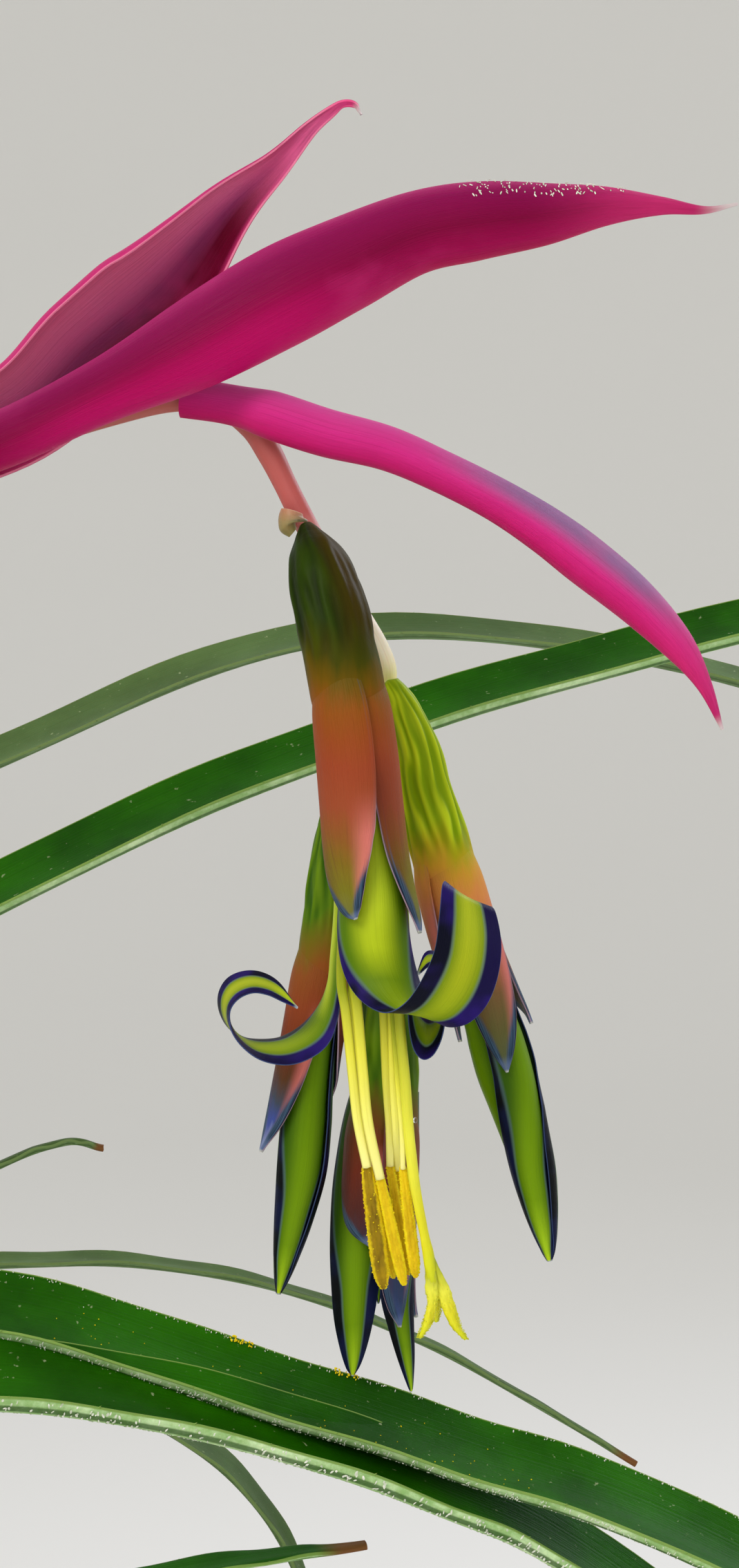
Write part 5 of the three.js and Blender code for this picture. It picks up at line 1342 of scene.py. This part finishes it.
root = tube("stamens_1", [STAMEN_ROOT, STAMEN_ROOT_END], 6, 20)
threads = [root]
pods = []
grains = []
draw = random.Random(21)
for number, (run, thick, end, tip, width, overlap) in enumerate(STAMENS):
    foot = (STAMEN_ROOT[0], STAMEN_ROOT[1], STAMEN_ROOT[2] - 1)
    end, tip = np.array(seen(*end)), np.array(seen(*tip))
    over = end + unit(tip - end) * overlap + np.array([0, -0.5 * width, 0])
    radius = thick / 1.36
    rows = [(*foot, 0.8 * radius)] + [(*seen(*point), radius) for point in run] + [(*over, 0.9 * radius)]
    threads.append(tube(f"filament_{number}", rows, 90, 20, flattened))
    rows = [(*(end + (tip - end) * part), width * size / 1.24) for part, size in ANTHER_PROFILE]
    pods.append(tube("anthers_1" if number == 0 else f"anther_{number}", rows, 90, 36, anther_relief(number)))
    parts, sizes = zip(*ANTHER_PROFILE)
    for _ in range(GRAINS_PER_ANTHER):
        part, side = draw.uniform(0.0, 1), draw.choice((-1, 1))
        reach = width * np.interp(part, parts, sizes) + draw.gauss(0, 0.03)
        turn = draw.gauss(0, 0.5)
        spot = end + (tip - end) * part
        spot = spot + np.array([side * reach * math.cos(turn), 0.62 * reach * math.sin(turn), 0])
        size = draw.uniform(0.035, 0.085)
        grains.append((spot, turned(draw), (size, size * 0.8, size * 0.7)))
bronze = anther_finish("anther bronze", "725A02", "A88A06", "E8CC12")
gold = anther_finish("anther gold", "C8A406", "EECE10", "F8E41C")
pollen = pollen_finish()
dress(join(threads), filament_finish(), "stamen", "flower_1_stamens")
dress(pods[0], bronze, "stamen")
dress(join(pods[1:]), gold, "stamen")
dress(copies("anther_pollen", grain_pattern(), grains), pollen, "stamen")

# Style and stigma
# The style stands clear of the stamens on the right and ends in three lobes, of which two
# spread below the anthers. The lobes are twisted and covered with small bumps.
# Pixels across and down the photograph, depth and radius
STYLE = [
    (564, 1270, -6.9, 0.3), (578, 1467, -6.7, 0.38), (586, 1560, -6.6, 0.4), (592, 1640, -6.5, 0.4),
    (599, 1703, -6.4, 0.4), (606, 1745, -6.3, 0.38), (614, 1785, -6.2, 0.38), (620, 1815, -6.1, 0.48),
    (625, 1845, -6.1, 0.5), (628, 1860, -6.1, 0.4),
]
STIGMA_LOBES = [
    [(622, 1815, -6.1, 0.2), (624, 1843, -6.2, 0.38), (625, 1867, -6.3, 0.4), (626, 1886, -6.4, 0.32),
     (621, 1908, -6.5, 0.36), (615, 1923, -6.6, 0.32), (607, 1936, -6.7, 0.16)],
    [(623, 1815, -6.0, 0.2), (632, 1845, -6.0, 0.38), (641, 1867, -5.9, 0.46), (648, 1886, -5.9, 0.46),
     (656, 1908, -5.8, 0.42), (664, 1924, -5.7, 0.34), (674, 1938, -5.6, 0.16)],
    [(624, 1815, -5.8, 0.2), (628, 1850, -5.4, 0.34), (631, 1880, -4.9, 0.36), (632, 1898, -4.5, 0.32),
     (631, 1912, -4.2, 0.16)],
]
BUMPS_PER_LOBE = 220


def twisted(seed, amount):
    """A flat form that turns as it goes, with bumps on it"""
    def relief(angle, share):
        return amount * (np.cos(2 * angle + 1.6 + 5 * share) + 0.9 * lumps(angle, share, 3, 14, seed))
    return relief


def seen_rows(rows):
    return [(*seen(across, down, depth), radius) for across, down, depth, radius in rows]


parts = [tube("style_1", seen_rows(STYLE), 140, 24, twisted(3, 0.1))]
bumps = []
for number, lobe in enumerate(STIGMA_LOBES):
    rows = seen_rows(lobe)
    parts.append(tube(f"stigma_{number}", rows, 90, 28, twisted(5 + number, 0.26)))
    for _ in range(BUMPS_PER_LOBE):
        at = curve(rows, np.array([draw.uniform(0.3, 1.0)]))[0]
        turn = draw.choice((0, math.pi)) + draw.gauss(0, 0.5)
        reach = at[3] * draw.uniform(1.0, 1.3)
        spot = at[:3] + np.array([math.cos(turn) * reach, math.sin(turn) * reach, 0])
        size = draw.uniform(0.03, 0.07)
        bumps.append((spot, turned(draw), (size * 1.8, size * 0.7, size * 0.7)))
style_flesh = fleshy("style flesh", [(0.0, "8C9E14"), (0.35, "F0EE48"), (0.6, "E8E226"), (1.0, "DAE01A")],
                     "A4A414", 0.0001, 0.2)
dress(join(parts), style_flesh, "stigma", "flower_1_style")
dress(copies("stigma_bumps", grain_pattern(), bumps), style_flesh, "stigma")

# Scurf, pollen and dew
# White scales lie in rows on the near margin of the broad leaf, fallen pollen is strewn on it
# below the anthers, dry scurf sticks near the front bract's tip, and one dew drop hangs.
SCURF_SCALES = 1100
FALLEN_GRAINS = 110
# Where little heaps of pollen lie on the far margin, as shares of the leaf's length
POLLEN_HEAPS = (0.612, 0.648)
DROP_RADIUS = 0.2
DROP_SEEN = (601, 1621, 6.9)


def on_form(form, share, across):
    """A point on a form, with its directions along, across and out of the hollow side"""
    row = min(int(share * (form.shape[0] - 1)), form.shape[0] - 2)
    column = min(int(across * (form.shape[1] - 1)), form.shape[1] - 2)
    part_row = share * (form.shape[0] - 1) - row
    part_column = across * (form.shape[1] - 1) - column
    near = form[row, column] * (1 - part_column) + form[row, column + 1] * part_column
    far = form[row + 1, column] * (1 - part_column) + form[row + 1, column + 1] * part_column
    along = unit(far - near)
    side = unit(form[row, column + 1] - form[row, column])
    return near * (1 - part_row) + far * part_row, along, side, np.cross(side, along)


def strewn(form, count, seed, share, across, sizes, lift):
    """Places strewn on a form between limits along and across it"""
    draw = random.Random(seed)
    places = []
    for _ in range(count):
        point, along, side, out = on_form(form, draw.uniform(*share), draw.uniform(*across))
        turn = draw.gauss(0, 0.35)
        first = side * math.cos(turn) + along * math.sin(turn)
        axes = np.array([first, np.cross(out, first), out])
        size = [draw.uniform(*span) for span in sizes]
        places.append((point + out * lift, axes, size))
    return places


def scurf_finish():
    scale = Finish("white scurf", {"Specular IOR Level": 0.3})
    colour = scale.ramp(scale.noise(2000, detail=3), [(0.3, "AEBCA0"), (0.6, "EFF3E6")])
    return scale.finish(colour, scale.rise(scale.noise(700), -1.5, 0.9), scale.noise(3000), 0.00005)


scurf = scurf_finish()
broad = leaf_forms["leaf_long_under"]
band = strewn(broad, SCURF_SCALES, 31, (0.35, 0.95), (0.89, 0.99), [(0.10, 0.26), (0.03, 0.06), (0.03, 0.05)], -0.32)
band += strewn(broad, 420, 32, (0.35, 0.95), (0.0, 0.04), [(0.05, 0.16), (0.03, 0.06), (0.03, 0.05)], 0.26)
band += strewn(broad, 90, 33, (0.35, 0.95), (0.1, 0.85), [(0.04, 0.09), (0.03, 0.06), (0.02, 0.04)], 0.32)
dress(copies("leaf_scurf", grain_pattern(), band), scurf, "green_leaf")
lower = leaf_forms["leaf_long_lower"]
silver = strewn(lower, 900, 34, (0.3, 0.95), (0.8, 0.99), [(0.10, 0.3), (0.05, 0.12), (0.03, 0.05)], -0.33)
dress(copies("leaf_lower_scurf", grain_pattern(), silver), scurf, "green_leaf")
fallen = strewn(broad, FALLEN_GRAINS, 35, (0.55, 0.72), (0.25, 0.97), [(0.03, 0.09), (0.03, 0.07), (0.03, 0.05)], 0.36)
for middle in POLLEN_HEAPS:
    fallen += strewn(broad, 26, int(1000 * middle), (middle - 0.004, middle + 0.004), (0.0, 0.05),
                     [(0.06, 0.16), (0.05, 0.12), (0.05, 0.1)], 0.36)
dress(copies("leaf_fallen_pollen", grain_pattern(), fallen), pollen, "stamen")
dry = strewn(front_form, 130, 37, (0.6, 0.8), (0.66, 0.97), [(0.06, 0.26), (0.03, 0.08), (0.02, 0.05)], -0.22)
dress(copies("bract_scurf", grain_pattern(), dry), scurf, "pink_bract")


def water():
    drop = Finish("dew", {"Roughness": 0.02, "Transmission Weight": 1.0, "IOR": 1.33})
    return drop.finish(drop.ramp(drop.noise(10), [(0.0, "FFFFFF"), (1.0, "F4FAF4")]))


bpy.ops.object.select_all(action="DESELECT")
bpy.ops.mesh.primitive_uv_sphere_add(segments=24, ring_count=14, radius=DROP_RADIUS * MM,
                                     location=[v * MM for v in seen(*DROP_SEEN)])
drop = bpy.context.object
drop.name = "dew_drop"
bpy.ops.transform.resize(value=(0.9, 0.9, 1.2))
bpy.ops.object.transform_apply(location=True, rotation=False, scale=True)
smooth(drop)
dress(drop, water(), "ovary")

# Floor, light and air
# A wide pale floor whose far edge curves up all round, a pale even sky and three large soft
# lamps: a key from the upper left, a cool one behind on the right and a weak one in front.
FLOOR_RADIUS = 3000
FLOOR_CURVE = 1600
FLOOR_UNDER = -0.2

rings = [(1, FLOOR_UNDER), (FLOOR_RADIUS / 2, FLOOR_UNDER), (FLOOR_RADIUS, FLOOR_UNDER)]
for turn in range(10, 91, 10):
    angle = math.radians(turn)
    rise = FLOOR_CURVE * (1 - math.cos(angle))
    rings.append((FLOOR_RADIUS + FLOOR_CURVE * math.sin(angle), FLOOR_UNDER + rise))
floor, column, row = grid("floor", 96, len(rings) - 1)
radius, height = np.array(rings)[row].T
around = -2 * math.pi * column / 96
set_points(floor, np.column_stack([radius * np.cos(around), radius * np.sin(around), height]))
smooth(floor)
ground = Finish("pale floor", {"Roughness": 0.9, "Specular IOR Level": 0.1})
floor.data.materials.append(ground.finish(ground.ramp(ground.noise(0.6), [(0.3, "F2F1EE"), (0.7, "F5F4F1")])))

world = bpy.data.worlds.new("pale air")
world.use_nodes = True
world.node_tree.nodes["Background"].inputs["Color"].default_value = tint("F1F1EF")
world.node_tree.nodes["Background"].inputs["Strength"].default_value = 0.7
bpy.context.scene.world = world

LAMPS = [
    ("key", (-0.7, -1.1, 1.25), 0.8, 14, "FFF6EA"), ("edge", (1.1, 0.9, 1.2), 0.8, 9, "EAF0FF"),
    ("front", (0.5, -1.8, 1.0), 1.0, 2.5, "FFFFFF"),
]
for name, place, size, power, colour in LAMPS:
    lamp = bpy.data.lights.new(name, "AREA")
    lamp.size = size
    lamp.energy = power
    lamp.color = tint(colour)[:3]
    light = bpy.data.objects.new(name, lamp)
    light.location = place
    light.rotation_euler = (Vector((0.16, 0, 0.31)) - Vector(place)).to_track_quat("-Z", "Y").to_euler()
    light.visible_camera = False
    bpy.context.collection.objects.link(light)
